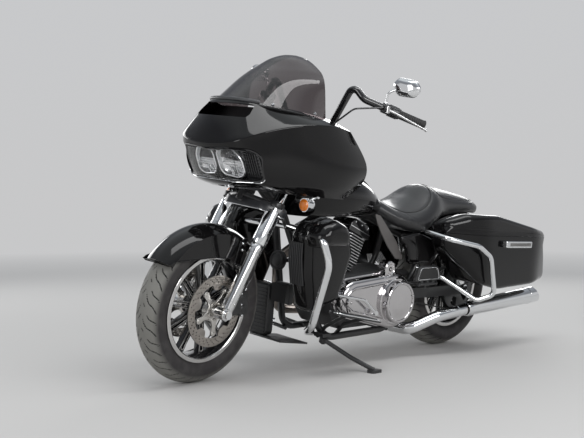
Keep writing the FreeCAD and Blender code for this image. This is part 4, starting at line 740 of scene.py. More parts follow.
def tyre_shape(width, lip, half, repeats, sipe_rows):
    """A tyre round the origin, with its sipes pressed into the tread."""
    flange = half - 8
    shoulder = 0.43 * width
    rise = 0.20 * width
    wide = width / 2 - 5
    belly = (lip + TYRE_R) / 2 + 4
    crown = arc_through((-shoulder, TYRE_R - rise), (0, TYRE_R), (shoulder, TYRE_R - rise), 44)
    wall = arc_through((shoulder, TYRE_R - rise), (wide, belly), (flange + 4, lip + 3), 14)
    left = [(-y, r) for y, r in reversed(wall)]
    foot = [(flange, lip), (flange, lip - 12.5), (-flange, lip - 12.5), (-flange, lip)]
    section = left[:-1] + crown + wall[1:] + foot
    verts = []
    pressed = []
    for i in range(AROUND):
        angle = 2 * math.pi * i / AROUND
        for y, r in section:
            depth = 0.0
            if r > TYRE_R - rise - 16:
                u = abs(y) / shoulder if r > TYRE_R - rise else 1 + (TYRE_R - rise - r) / shoulder
                for start, stop, phase, curl, wide_mm in sipe_rows:
                    if start < u < stop:
                        t = (u - start) / (stop - start)
                        centre = phase + curl * (t + 0.10 * math.sin(2 * math.pi * t))
                        lane = 0.5 if y < 0 else 0.0
                        gap = (angle / (2 * math.pi) * repeats - centre - lane) % 1.0
                        gap = min(gap, 1 - gap) * 2 * math.pi * TYRE_R / repeats
                        taper = min(1.0, 8 * t, 8 * (1 - t))
                        if gap < wide_mm / 2 * taper:
                            depth = SIPE_DEPTH
            if r < TYRE_R - rise - 8 and 0.40 < (TYRE_R - rise - r) / (TYRE_R - rise - lip) < 0.46:
                depth = -RIDGE
            rr = r - depth
            verts.append(Vector((rr * math.cos(angle), y, rr * math.sin(angle))))
            pressed.append(depth > 1.0)
    count = len(section)
    faces = []
    marks = []
    for i in range(AROUND):
        j = (i + 1) % AROUND
        for k in range(count):
            m = (k + 1) % count
            corners = (i * count + k, i * count + m, j * count + m, j * count + k)
            faces.append(corners)
            # Faces inside a sipe take the second finish, the painted shade of the grooves.
            marks.append(1 if sum(pressed[c] for c in corners) >= 2 else 0)
    return verts, faces, marks


tyre_rubber = rubber_of("tyre_rubber")
# Near-black painted shade for the sipe faces, darker than the rubber itself.
sipe_painted_shade = finish_of("sipe_painted_shade", (0.006, 0.006, 0.006), 0.9, bump=0.3)
front_sipes = ((0.10, 1.17, 0.0, -1.15, 5.0), (0.42, 1.20, 0.10, -0.62, 4.6), (0.02, 0.24, 0.55, -0.28, 4.0))
rear_sipes = ((0.10, 1.10, 0.0, -1.05, 5.4), (0.42, 1.14, 0.10, -0.56, 5.0), (0.02, 0.24, 0.55, -0.28, 4.4))
piece(
    "front_tyre_rubber", shifted(tyre_shape(130, 227, 54, 20, front_sipes), *FRONT_AXLE),
    [tyre_rubber, sipe_painted_shade], ["front_tyre"], "front_wheel", FRONT_AXLE, angle=40)
piece(
    "rear_tyre_rubber", shifted(tyre_shape(180, 216, 70, 20, rear_sipes), *REAR_AXLE),
    [tyre_rubber, sipe_painted_shade], ["rear_tyre"], "rear_wheel", REAR_AXLE, angle=40)

# Rims: cast alloy, painted black, each with ten split spokes. The lips and the edges of the spokes are
# machined bright.

rim_black = finish_of("rim_gloss_black", (0.011, 0.011, 0.012), 0.2, coat=0.7, bump=0.06)
SPOKES = 10
SPOKE_PHASE = 0.69
machined = finish_of(
    "rim_machined", (0.70, 0.69, 0.68), 0.2, metallic=1.0, bump=0.06, texture=300.0, uneven=0.06)


def spoke_outline(hub, reach, inset):
    """One side's pair of arms, joined at the hub and parting towards the rim."""
    i = inset
    rim = flat_outline((
        (hub - 6, -17 + i, 2), (hub + 22, -14.5 + i, 30), (reach - 40, -13 + i, 40), (reach, -16 + i, 2),
        (reach, 16 - i, 2), (reach - 40, 13 - i, 40), (hub + 22, 14.5 - i, 30), (hub - 6, 17 - i, 2)))
    slot = flat_outline((
        (hub + 34 - i, -2.5 - i, 2 + i), (reach - 30, -5.5 - i, 4), (reach - 16 + i, -7.5 - i, 5),
        (reach - 16 + i, 7.5 + i, 5), (reach - 30, 5.5 + i, 4), (hub + 34 - i, 2.5 + i, 2 + i)))
    return [rim, slot]


def rim_shape(lip, half, hub_half):
    """A cast rim round the origin: its barrel with bright lips, ten split spokes and the hub."""
    bead = lip - 13
    inner = bead - 10
    profile = (
        (-half, inner + 1), (-half, lip - 2), (-half + 2, lip), (-half + 8, lip), (-half + 8, bead),
        (half - 8, bead), (half - 8, lip), (half - 2, lip), (half, lip - 2), (half, inner + 7),
        (half - 3, inner + 3), (half - 12, inner), (half - 30, inner - 8), (30 - half, inner - 8),
        (12 - half, inner), (3 - half, inner + 3))
    barrel = spun(profile, 144, closed=True)
    marks = []
    for number in range(len(profile)):
        marks += [1 if number in (0, 1, 2, 7, 8, 9) else 0] * 144
    pieces = [(barrel[0], barrel[1], marks)]
    verts, faces, _ = side_plate(spoke_outline(36, inner + 1, 0.0), -16, 16, 2.2, 1)
    marks = []
    for face in faces:
        depths = [abs(verts[k].y) for k in face]
        marks.append(1 if 0.5 < max(depths) - min(depths) < 6 and min(depths) > 10 else 0)
    for i in range(SPOKES):
        pieces.append(tilted((verts, faces, marks), 360 / SPOKES * (i + SPOKE_PHASE)))
    hub = (
        (-hub_half, 12.8), (-hub_half, 32), (-hub_half + 3, 36), (-24, 36), (-20, 44), (-18, 46), (18, 46),
        (20, 44), (24, 36), (hub_half - 3, 36), (hub_half, 32), (hub_half, 12.8))
    pieces.append(spun(hub, 64, closed=True))
    return joined(*pieces)


piece(
    "front_rim_cast", shifted(rim_shape(227, 54, 60), *FRONT_AXLE), [rim_black, machined], ["front_rim"],
    "front_wheel", FRONT_AXLE, angle=30)
piece(
    "rear_rim_cast", shifted(rim_shape(216, 70, 72), *REAR_AXLE), [rim_black, machined], ["rear_rim"],
    "rear_wheel", REAR_AXLE, angle=30)

# Brake discs: drilled steel rings that the pads have worn bright, riveted to bright five-armed carriers on
# the hubs. The rear one shares its piece with the belt's black toothed pulley.

disc_steel = finish_of(
    "disc_steel_worn", (0.40, 0.37, 0.34), 0.28, metallic=1.0, bump=0.25, texture=260.0, uneven=0.12)
carrier_alloy = finish_of("carrier_alloy", (0.62, 0.60, 0.57), 0.24, metallic=1.0, bump=0.08, uneven=0.06)


def drilled_disc(y, radius, hub_y, side):
    """A disc with three rows of holes, riveted to five arms on the hub."""
    holes = []
    for row in range(3):
        for k in range(30):
            angle = 2 * math.pi * (k + row / 3.0) / 30
            r = radius - 10 - row * 9
            holes.append(circle(r * math.cos(angle), r * math.sin(angle), 3.2, 10))
    inner_edge = []
    for k in range(360):
        angle = (k - 20) % 72
        tab = max(0.0, 1 - (min(angle, 72 - angle) / 15) ** 4)
        inner_edge.append(polar(radius - 38 - 24 * tab, math.radians(k)))
    ring = side_plate([circle(0, 0, radius, 96), inner_edge] + holes, y - 2.5, y + 2.5, 0.4, 1)
    arms = []
    for i in range(5):
        outline = flat_outline((
            (30, -20, 6), (radius - 84, -10, 20), (radius - 54, -15, 10), (radius - 44, -6, 6),
            (radius - 44, 6, 6), (radius - 54, 15, 10), (radius - 84, 10, 20), (30, 20, 6)))
        arm = in_finish(side_plate([outline], y + side * 0.5 - 4.5, y + side * 0.5 + 4.5, 1.6), 1)
        pin = in_finish(bar((radius - 55, y - 6.5, 0), (radius - 55, y + 6.5, 0), 8.5, 2), 1)
        arms.append(tilted(joined(arm, pin), 72 * i + 20))
        spot = Vector((
            34 * math.cos(math.radians(72 * i + 50)), y + side * 3, 34 * math.sin(math.radians(72 * i + 50))))
        arms.append(in_finish(bolt(spot, (0, side, 0), 6.5, 6), 1))
    centre = in_finish(
        spun(
            ((hub_y, 12.8), (hub_y, 44), (y + side * 2, 44), (y + side * 4, 42), (y + side * 4, 12.8)), 64,
            closed=True),
        1)
    return joined(ring, centre, *arms)


front_disc = shifted(drilled_disc(87, 150, 60, 1), *FRONT_AXLE)
piece(
    "front_discs_drilled", both_sides(front_disc), [disc_steel, carrier_alloy], ["front_discs"],
    "front_wheel", FRONT_AXLE, angle=30)
rear_disc = shifted(drilled_disc(-104, 146, -72, -1), *REAR_AXLE)
teeth = [polar(116.5 + (1.5 if i % 2 else 0), 2 * math.pi * i / 64) for i in range(64)]
windows = []
for i in range(5):
    c = math.cos(2 * math.pi * i / 5)
    s = math.sin(2 * math.pi * i / 5)
    opening = flat_outline(((52, -16, 6), (98, -26, 10), (98, 26, 10), (52, 16, 6)))
    windows.append([Vector((p.x * c - p.y * s, p.x * s + p.y * c, 0)) for p in opening])
pulley = side_plate([teeth] + windows, 93, 117, 1)
pulley_hub = spun(((72, 12.8), (72, 44), (104, 44), (104, 12.8)), 48, closed=True)
pulley = shifted(in_finish(joined(pulley, pulley_hub), 2), *REAR_AXLE)
pulley_black = finish_of("pulley_black", (0.018, 0.018, 0.019), 0.4, coat=0.2, bump=0.2)
piece(
    "rear_disc_and_belt_pulley", joined(rear_disc, pulley), [disc_steel, carrier_alloy, pulley_black],
    ["rear_disc_and_pulley"], "rear_wheel", REAR_AXLE, angle=30)
belt_rubber = finish_of("belt_rubber", (0.022, 0.022, 0.022), 0.7, bump=0.4)
dress(belt_rubber, "drive_belt")
dress(chrome, "front_axle", "rear_axle")

# Fork: polished alloy sliders on the axle, with chrome covers above them and a dark skirt that hides the
# lower clamp. The tubes run up through two clamps to the handlebar riser.

polished = finish_of(
    "polished_alloy", (0.70, 0.70, 0.70), 0.13, metallic=1.0, bump=0.04, texture=200.0, uneven=0.05)
skirt_grey = finish_of("skirt_dark_grey", (0.030, 0.031, 0.034), 0.3, coat=0.3, bump=0.1)
LEG_TAN = math.tan(math.radians(29.25))
LEG_Y = 130.0


def leg_at(z, y=LEG_Y):
    """A point on the fork leg at a height."""
    return Vector((FRONT_X - 20.0 - LEG_TAN * (z - AXLE_Z), y, z))


def leg_part(low, high, profile, sides=48):
    """Rings up the leg: (share of the way, radius) from one height to another."""
    a = leg_at(low)
    b = leg_at(high)
    long = (b - a).length
    return along(a, b, [(share * long, radius) for share, radius in profile], sides)


slider = leg_part(
    312, 596,
    ((0, 0), (0, 22), (0.015, 26), (0.06, 27.3), (0.86, 27.3), (0.865, 28.6), (0.885, 28.8), (0.89, 27.6),
     (0.93, 27.6), (0.935, 29.6), (0.992, 29.6), (1, 28), (1, 24.5), (0.99, 0)))
axle_clamp = joined(bar((FRONT_X, 106, AXLE_Z), (FRONT_X, 159, AXLE_Z), 26, 3, 48),
                    bar((FRONT_X - 24, 130, AXLE_Z - 30), (FRONT_X - 24, 130, AXLE_Z + 22), 12, 2),
                    bolt((FRONT_X - 24, 130, AXLE_Z - 30), (0, 0, -1), 7, 5))
fender_lug = bar((leg_at(500).x + 14, 126, 502), (leg_at(500).x + 14, 88.4, 502), 12, 1.5)
drain = bolt((leg_at(360).x, 157, 360), (0, 1, 0), 5, 3)
piece(
    "fork_sliders_polished", both_sides(joined(slider, axle_clamp, fender_lug, drain)), polished,
    ["fork_sliders"], "fork")
cover = leg_part(
    596.4, 732,
    ((0, 0), (0, 31.5), (0.02, 33), (0.30, 33), (0.31, 32), (0.36, 32), (0.37, 33), (0.985, 33), (1, 31.5),
     (1, 0)))
piece("fork_covers_chrome", both_sides(cover), chrome, ["fork_covers"], "fork")


def steer_x(z):
    """Where the steering axis stands at a height."""
    return 985.5 - math.tan(rake) * z


def clamp_plate(z, thickness, edge):
    """A forged clamp, level with the fork's rake, with a boss round each tube and the stem."""
    reach = (steer_x(z) - leg_at(z).x) * math.cos(rake)
    web = flat_outline((
        (reach + 30, -26, 14), (reach + 30, 26, 14), (24, 142, 18), (-16, 132, 14), (6, 0, 60),
        (-16, -132, 14), (24, -142, 18)))
    bosses = [plate([circle(x, y, 36)], thickness, edge) for x, y in ((0, LEG_Y), (0, -LEG_Y), (reach, 0))]
    whole = shifted(joined(plate([web], thickness * 0.7, edge), *bosses), 0, 0, -thickness / 2)
    return shifted(tilted(whole, -RAKE), leg_at(z).x, 0, z)


tubes = []
for side in (1, -1):
    tubes.append(bar(leg_at(700, side * LEG_Y), leg_at(962, side * LEG_Y), 24.5, 2, 40))
    tubes.append(bar(leg_at(955, side * LEG_Y), leg_at(966, side * LEG_Y), 20, 2, 6))
stem = bar((steer_x(745) + 20, 0, 768), (steer_x(960) + 8, 0, 976), 15, 2)
skirt_outline = flat_outline((
    (56, -106, 66), (56, 106, 66), (-6, 170, 36), (-40, 170, 10), (-40, 146, 4), (20, 60, 30), (20, -60, 30),
    (-40, -146, 4), (-40, -170, 10), (-6, -170, 36)))
skirt = plate([skirt_outline], 44, 7, 3)
skirt_trim = in_finish(shifted(plate([[p * 1.012 for p in skirt_outline]], 6, 2, 2), 0, 0, -1), 1)
skirt = shifted(joined(skirt, skirt_trim), 0, 0, -46)
skirt = shifted(tilted(skirt, -RAKE), leg_at(758).x, 0, 758)
yoke = joined(clamp_plate(758, 26, 3), clamp_plate(942, 26, 3), stem)
piece("fork_clamps_and_skirt", joined(in_finish(yoke, 2), *[in_finish(t, 1) for t in tubes], skirt),
      [skirt_grey, chrome, powder_coat], ["fork_yoke"], "fork")

# Front fender: a deep steel blade pressed round the tyre, gloss black, with side skirts, a rolled edge and a
# bracket with two bolts on each side that ties it to the sliders.


gloss_black = finish_of(
    "gloss_black_paint", (0.0045, 0.0042, 0.0045), 0.12, coat=1.0, bump=0.004, texture=35.0)
gloss_black.node_tree.nodes["Principled BSDF"].inputs["Coat IOR"].default_value = 1.34
gloss_black.node_tree.nodes["Principled BSDF"].inputs["Specular IOR Level"].default_value = 0.1


def fender_ring(angle, radius, half, drop, skirt_radius, wall):
    """One section across a fender, outer line then inner line, standing at an angle round the axle."""
    crown = arc_through((-half, radius - drop), (0, radius), (half, radius - drop), 24)
    inside = arc_through(
        (wall - half, radius - drop - wall), (0, radius - wall), (half - wall, radius - drop - wall), 24)
    middle = (skirt_radius + radius - drop) / 2
    outer = [(-half, skirt_radius), (-half, middle)] + crown + [(half, middle), (half, skirt_radius)]
    inner = [(wall - half, skirt_radius), (wall - half, middle)] + inside
    inner += [(half - wall, middle), (half - wall, skirt_radius)]
    c = math.cos(math.radians(angle))
    s = math.sin(math.radians(angle))
    return [(r * c, y, r * s) for y, r in outer + inner[::-1]]


def eased(rows, steps):
    """Rows of numbers run through smoothly, so that a form has no corners between its sections."""
    out = []
    for i in range(len(rows) - 1):
        before = rows[max(0, i - 1)]
        here = rows[i]
        there = rows[i + 1]
        after = rows[min(len(rows) - 1, i + 2)]
        for k in range(steps):
            t = k / steps
            out.append([
                0.5 * (
                    2 * b + (c - a) * t + (2 * a - 5 * b + 4 * c - d) * t * t
                    + (3 * b - a - 3 * c + d) * t ** 3)
                for a, b, c, d in zip(before, here, there, after)])
    out.append(list(rows[-1]))
    return out


skirt_points = (
    (38, 334), (42, 324), (48, 296), (55, 268), (64, 245), (73, 231), (84, 222), (95, 219), (103, 222),
    (109, 231), (113, 254), (118, 292), (126, 306), (138, 318))
front_rings = []
for angle, skirt in eased(skirt_points, 8):
    front_rings.append(fender_ring(angle, 352, 80, 34, skirt, 3))
blade = shifted(loft(front_rings), *FRONT_AXLE)
bracket = side_plate(
    [((leg_at(500).x + 2, 484, 9), (leg_at(500).x + 36, 484, 9), (leg_at(560).x + 52, 548, 30),
      (leg_at(640).x + 84, 604, 9), (leg_at(640).x + 34, 622, 9), (leg_at(560).x + 14, 556, 30))],
    80.6, 86.5, 2)
fender_bolts = [
    in_finish(bolt((leg_at(z).x + dx, 86, z), (0, 1, 0), 7, 5), 1)
    for z, dx in ((500, 16), (596, 44), (568, 28))]
hem = [
    Vector((
        FRONT_X + (skirt + 1) * math.cos(math.radians(angle)), 80.2,
        AXLE_Z + (skirt + 1) * math.sin(math.radians(angle))))
    for angle, skirt in eased(skirt_points, 8)]
skirt_line = tube(hem, 1.8, 8)
piece(
    "front_fender_gloss", joined(blade, both_sides(joined(bracket, skirt_line, *fender_bolts))),
    [gloss_black, chrome], ["front_fender"], "fork", angle=40)

# Front calipers: four-piston alloy blocks in satin black, bolted behind the legs and gripping the discs, each
# with a brake hose that runs up beside the leg.

caliper_black = finish_of("caliper_satin_black", (0.020, 0.020, 0.021), 0.42, coat=0.15, bump=0.2)


def caliper_shape(disc_y):
    """A caliper about its own middle, before it is turned round the wheel."""
    body = flat_outline(((-58, -26, 16), (58, -26, 16), (50, 26, 14), (-50, 26, 14)))
    outer = side_plate([body], disc_y + 5, disc_y + 26, 3)
    inner = side_plate([body], disc_y - 24, disc_y - 5, 3)
    bridge = [
        side_plate(
            [((x - 8, 10, 3), (x + 8, 10, 3), (x + 7, 26, 4), (x - 7, 26, 4))], disc_y - 6, disc_y + 6, 1)
        for x in (-40, 0, 40)]
    pistons = [bar((x, disc_y + 24, -3), (x, disc_y + 28, -3), 15, 2) for x in (-24, 24)]
    pins = [in_finish(bolt((x, disc_y + 26, -14), (0, 1, 0), 5, 4), 1) for x in (-48, 0, 48)]
    bleed = in_finish(bar((46, disc_y + 10, 22), (54, disc_y + 10, 36), 4), 1)
    return joined(outer, inner, bleed, *bridge, *pistons, *pins)


front_caliper = shifted(tilted(caliper_shape(87), -80), FRONT_X - 146, 0, 344)
lug = side_plate([((FRONT_X - 132, 300, 8), (FRONT_X - 52, 292, 8), (FRONT_X - 62, 390, 8),
                                (FRONT_X - 132, 380, 8))], 105, 112, 2)
hose = tube(
    rounded((
        (FRONT_X - 150, 104, 398), (FRONT_X - 190, 104, 450, 40), (leg_at(560).x - 46, 118, 560, 60),
        (leg_at(700).x - 42, 96, 720))),
    4, 10)
piece(
    "front_calipers_black", both_sides(joined(front_caliper, lug, hose)), [caliper_black, chrome],
    ["front_calipers"], "fork")

# Handlebar: one steel tube bent up and back in tall shoulders, painted gloss black. It is clamped to a riser
# that comes from the upper fork clamp.

bar_black = finish_of("handlebar_gloss_black", (0.009, 0.009, 0.010), 0.18, coat=0.8, bump=0.03)
half_line = rounded((
    (236, 0, 1048), (236, 95, 1048, 45), (232, 222, 1296, 42), (217, 275, 1240, 45), (2, 452, 1158)))
half_bar = tube(half_line, 16, 28)
riser = tube(
    rounded(((leg_at(942).x + 22, 0, 954), (leg_at(942).x - 60, 0, 1030, 60), (236, 0, 1048))), 24, 28)
riser_clamp = bar((236, -40, 1048), (236, 40, 1048), 27, 3)
riser_bolts = [bolt((236 + dx, y, 1074), (0, 0, 1), 5, 4) for y in (-28, 28) for dx in (-12, 12)]
piece(
    "handlebar_black", joined(both_sides(half_bar), riser, riser_clamp, *riser_bolts), bar_black,
    ["handlebar"], "fork")

# Grips, switch housings, levers and mirrors: ribbed rubber grips with a soft end, black switch housings with
# rocker switches, silver levers on pivots and chrome mirrors on thin stalks.

grip_rubber = finish_of("grip_rubber", (0.018, 0.018, 0.018), 0.6, bump=0.5)
switch_black = finish_of("switch_black", (0.014, 0.014, 0.015), 0.34, coat=0.3, bump=0.15)
mirror_glass = finish_of("mirror_glass", (0.86, 0.87, 0.88), 0.02, metallic=1.0, bump=0.0, uneven=0.01)
BAR_END = Vector((2, 452, 1158))
OUTWARD = (BAR_END - Vector((217, 275, 1240))).normalized()
BAR_AHEAD = Vector((OUTWARD.y, -OUTWARD.x, 0)).normalized()


def by_grip(distance, drop=0.0, ahead=0.0):
    """A point on the outer straight of the left bar, measured back from its end."""
    return BAR_END - OUTWARD * distance + Vector((0, 0, -drop)) + BAR_AHEAD * ahead


ribs = [(0, 16.2), (0, 22), (2, 23), (6, 23), (8, 19.5)]
for k in range(11):
    start = 10 + 10.2 * k
    ribs += [(start, 19.3), (start + 0.5, 18.2), (start + 3.0, 18.2), (start + 3.5, 19.3)]
ribs += [(122, 19.5), (124, 21), (128, 21), (131, 18), (132, 0)]
grips = along(by_grip(125), by_grip(-7.2), ribs, 40)
piece("grips_ribbed", both_sides(grips), grip_rubber, ["grips"], "fork")
housing = joined(
    along(by_grip(173), by_grip(126), ((0, 16.2), (0, 24), (3, 27), (44, 27), (47, 25), (47, 16.2)), 32),
    bar(by_grip(165, 0, 14), by_grip(134, 0, 14), 20, 4))
clamp_block = along(
    by_grip(203), by_grip(175), ((0, 16.2), (0, 21), (3, 23), (25, 23), (28, 21), (28, 16.2)), 32)
switches = [
    bar(by_grip(d, h, -20), by_grip(d, h, -31), 5, 2, 12)
    for d, h in ((132, -8), (142, 6), (154, -8), (164, 6))]
perch = bar(by_grip(203, 2, 28), by_grip(169, 2, 28), 15, 3)
pivot = bar(by_grip(184, 18, 36), by_grip(184, -12, 36), 9, 2)
lever_path = rounded((
    tuple(by_grip(186, 4, 34)), tuple(by_grip(150, 6, 44)) + (30,), tuple(by_grip(115, 10, 52)) + (30,),
    tuple(by_grip(60, 15, 50)) + (60,), tuple(by_grip(6, 22, 62))))
lever = tube(lever_path, [8 - 2.6 * (k / (len(lever_path) - 1)) for k in range(len(lever_path))], 16, 0.72)
tip = along(by_grip(10, 22, 61), by_grip(-2, 23, 64), ((0, 0), (1, 5), (5, 7.2), (9, 6), (12, 0)), 16)
cable_path = rounded((tuple(by_grip(205, 2, 28)), (262, 262, 1196, 40), (290, 150, 1096, 50), (420, 66, 966)))
cable = tube(cable_path, 4, 10)
black_parts = joined(housing, clamp_block, perch, cable, *switches)
silver_parts = in_finish(joined(lever, tip, pivot), 1)
piece(
    "hand_controls_black", both_sides(joined(black_parts, silver_parts)), [switch_black, polished],
    ["hand_controls"], "fork")

mirror_outline = flat_outline((
    (-68, 14, 22), (-40, 44, 30), (40, 36, 34), (68, 0, 24), (40, -38, 30), (-44, -36, 30)))
shell_rings = []
for x, share in ((-12, 0.94), (-10, 1.0), (-4, 1.01), (4, 0.98), (11, 0.86), (16, 0.62), (18, 0.3)):
    shell_rings.append([(x, p.x * share, p.y * share) for p in mirror_outline])
shell = loft(shell_rings)
glass = in_finish(
    loft([
        [(-12.6, p.x * 0.9, p.y * 0.9) for p in mirror_outline],
        [(-11, p.x * 0.9, p.y * 0.9) for p in mirror_outline]]),
    1)
mirror_head = shifted(turned(joined(shell, glass), (0, 0, 0), (0, 0, 1), 8), 128, 428, 1306)
stalk_path = rounded((tuple(by_grip(189, -22, 6)), (150, 352, 1282, 30), (134, 408, 1306)))
stalk = joined(
    tube(stalk_path, 5, 14), bar(by_grip(189, -6, 4), by_grip(189, -26, 7), 8, 2),
    bar((134, 396, 1300), (130, 424, 1308), 9, 3))
piece(
    "mirrors_chrome", both_sides(joined(mirror_head, stalk)), [chrome, mirror_glass], ["mirrors"],
    "fork")

# Fuel tank: a pressed and welded steel shell, gloss black, broad at the front and drawn to a waist at the
# seat. A long gloss console runs down its middle and carries the hinged filler door.


def body_ring(x, half, low_half, low_z, waist_z, top_z, crown=26, flank=12):
    """A cross-section with an arched top, bowed sides and a flat bottom."""
    bow = (half - low_half) * 0.25 + 2.0
    middle = ((half + low_half) / 2 + bow, (waist_z + low_z) / 2)
    top = arc_through((-half, waist_z), (0, top_z), (half, waist_z), crown)
    right = arc_through((half, waist_z), middle, (low_half, low_z), flank)
    left = [(-y, z) for y, z in reversed(right)]
    bottom = [(low_half * (1 - k / 3), low_z) for k in range(1, 6)]
    return [(x, y, z) for y, z in top + right[1:] + bottom + left[:-1]]


tank_rows = ((386, 81, 54, 703, 800, 889), (300, 128, 96, 700, 795, 915), (90, 152, 118, 700, 790, 912),
             (-90, 128, 100, 702, 775, 860), (-215, 66, 52, 712, 742, 782))
tank = loft([body_ring(*row) for row in eased(tank_rows, 14)])
seam_line = tube(
    [Vector((x, low_half + 1, low_z + 3)) for x, half, low_half, low_z, waist, top in eased(tank_rows, 14)],
    3, 8)
piece(
    "fuel_tank_gloss", joined(tank, both_sides(seam_line)), gloss_black, ["fuel_tank"],
    angle=40)

lifted = eased(
    [(x, half + 10, low, low_z, waist, top + 12) for x, half, low, low_z, waist, top in tank_rows], 14)


def tank_top(x, y, rows):
    """The height of a tank surface at a point seen from above."""
    for near, far in zip(rows, rows[1:]):
        if far[0] <= x <= near[0]:
            t = (near[0] - x) / (near[0] - far[0])
            half, waist, top = (near[k] + (far[k] - near[k]) * t for k in (1, 4, 5))
            rise = top - waist
            radius = (half * half + rise * rise) / (2 * rise)
            return top - radius + math.sqrt(max(0.0, radius * radius - y * y))
    return rows[-1][5]


console_rings = []
for k in range(49):
    x = 330 - 526 * k / 48
    half = 34 + 18 * math.sin(
        math.pi * min(1, max(0, (330 - x) / 420))) if x > -90 else 42 - 16 * (-90 - x) / 106
    half *= min(1.0, 0.35 + math.sqrt(min(1, k / 5)) * 0.65, 0.35 + math.sqrt(min(1, (48 - k) / 5)) * 0.65)
    line = []
    for m in range(13):
        y = -half + 2 * half * m / 12
        line.append((x, y, tank_top(x, y, lifted) - (3.5 if m in (0, 12) else 0.0)))
    line.append((x, half, tank_top(x, half, lifted) - 16))
    line.append((x, -half, tank_top(x, half, lifted) - 16))
    console_rings.append(line)
console = loft(console_rings)
well = shifted(
    turned(spun(((-1, 40), (2, 40), (3, 37), (3, 35.5), (-8, 35.5), (-8, 0)), 64), (0, 0, 0), (1, 0, 0), 90),
    150, 0, 927)
piece(
    "tank_console_gloss", joined(console, in_finish(well, 1)), [gloss_black, chrome], ["tank_console"],
    angle=30)
door = shifted(
    turned(
        spun(((-7.8, 0), (-7.8, 33), (-1, 34), (1.2, 32), (1.8, 28), (0.6, 26), (0.6, 0)), 64), (0, 0, 0),
        (1, 0, 0), 90),
    150, 0, 927.2)
catch = bar((114, -7, 928), (114, 7, 928), 3, 1, 16)
piece("fuel_door_chrome", joined(door, catch), chrome, ["fuel_door"], "fuel_door_body")

# Fairing: the big broad-nosed shell on the frame, moulded and painted gloss black. It has a brow crease over
# a wide lamp opening with a bright lower edge, an air slot under the windshield, and it is open to the rider.

fairing_levels = (
    # rear x and y, side x and y, corner x and y, nose x, then the heights at rear, side, corner and nose
    (300, 285, 450, 290, 640, 165, 745, 796, 804.8, 815.9, 822),
    (215, 305, 480, 326, 738, 205, 792, 862, 855, 850, 846),
    (218, 326, 520, 334, 786, 214, 826, 950, 940, 924, 920),
    (318, 312, 600, 312, 828, 176, 852, 1084, 1096, 1016, 994),
    (372, 248, 560, 214, 716, 134, 756, 1126, 1154.4, 1178, 1184),
)


def arc_in_space(a, b, c, steps):
    """Points along the arc through three points in space."""
    a, b, c = Vector(a), Vector(b), Vector(c)
    u = (b - a).normalized()
    w = u.cross(c - a).normalized()
    v = w.cross(u)
    flat = [((p - a).dot(u), (p - a).dot(v)) for p in (a, b, c)]
    return [a + u * x + v * y for x, y in arc_through(*flat, steps)]


def fairing_row(row, soften):
    """One level of the shell, from its left rear edge round the nose to the right one."""
    rx, ry, sx, sy, kx, ky, nx, rz, sz, kz, nz = row
    flank = arc_in_space((rx, ry, rz), (sx, sy, sz), (kx, ky, kz), 44)
    nose = arc_in_space((kx, ky, kz), (nx, 0, nz), (kx, -ky, kz), 32)
    other = [Vector((p.x, -p.y, p.z)) for p in reversed(flank)]
    line = flank[:-1] + nose + other[1:]
    for _ in range(int(soften)):
        calm = [line[0]]
        for i in range(1, len(line) - 1):
            calm.append(line[i] * 0.5 + (line[i - 1] + line[i + 1]) * 0.25)
        line = calm + [line[-1]]
    return line


levels = eased(fairing_levels[:4], 14)
hood = []
for k in range(1, 13):
    t = k / 12
    row = [a + (b - a) * t for a, b in zip(fairing_levels[3], fairing_levels[4])]
    swell = math.sin(math.pi * t)
    row[5] += 6 * swell
    row[6] += 8 * swell
    row[9] += 7 * swell
    row[10] += 9 * swell
    row[8] += 6 * swell
    hood.append(row)
shell_rows = [fairing_row(row, 14) for row in levels] + [fairing_row(row, 5) for row in hood]
shell_skin = loft(shell_rows, ends=False, closed=False)


def cut_from(name, shape, cutters, wall, edge=0.0):
    """A skin given its thickness inwards, with openings cut through it."""
    made = stand(name, clean_mesh(name, shape))
    if edge:
        soft = made.modifiers.new("crease", "BEVEL")
        soft.width = edge * MM
        soft.segments = 4
        soft.limit_method = "ANGLE"
        soft.angle_limit = math.radians(14)
    thick = made.modifiers.new("wall", "SOLIDIFY")
    thick.thickness = wall * MM
    thick.offset = -1.0
    thick.use_even_offset = True
    tools = []
    for cutter in cutters:
        tool = stand("cutter", clean_mesh("cutter", cutter, weld=1e-6))
        tools.append(tool)
        cut = made.modifiers.new("cut", "BOOLEAN")
        cut.operation = "DIFFERENCE"
        cut.solver = "EXACT"
        cut.object = tool
    final = made.evaluated_get(bpy.context.evaluated_depsgraph_get()).to_mesh()
    verts = [v.co / MM for v in final.vertices]
    faces = [tuple(p.vertices) for p in final.polygons]
    for tool in tools:
        bpy.data.objects.remove(tool)
    bpy.data.objects.remove(made)
    return verts, faces, [0] * len(faces)


lamp_opening = flat_outline((
    (-240, 856, 30), (-120, 850, 60), (120, 850, 60), (240, 856, 30), (248, 990, 46), (120, 990, 60),
    (0, 980, 60), (-120, 990, 60), (-248, 990, 46)))
vent_opening = flat_outline(((-162, 1112, 14), (162, 1112, 14), (146, 1166, 18), (-146, 1166, 18)))
fairing = cut_from(
    "fairing", shell_skin, [front_plate([lamp_opening], 600, 900), front_plate([vent_opening], 640, 820)], 4,
    7)
piece("fairing_gloss", fairing, gloss_black, ["fairing"], angle=28)


shell_tree = BVHTree.FromPolygons([tuple(v) for v in shell_skin[0]], shell_skin[1])


def on_shell(y, z, out=0.0):
    """The point of the shell's front at a place seen from ahead, or a little in front of it."""
    hit = shell_tree.ray_cast(Vector((1200, y, z)), Vector((-1, 0, 0)))
    x = hit[0].x if hit[0] else 780.0
    return Vector((x + out, y, z))


edge_line = [on_shell(p.x, p.y, 0.5) for p in lamp_opening if p.y < 874]
edge_line.sort(key=lambda p: p.y)
bright_edge = tube(edge_line, 2.4, 10)
piece("lamp_opening_trim", bright_edge, chrome, ())

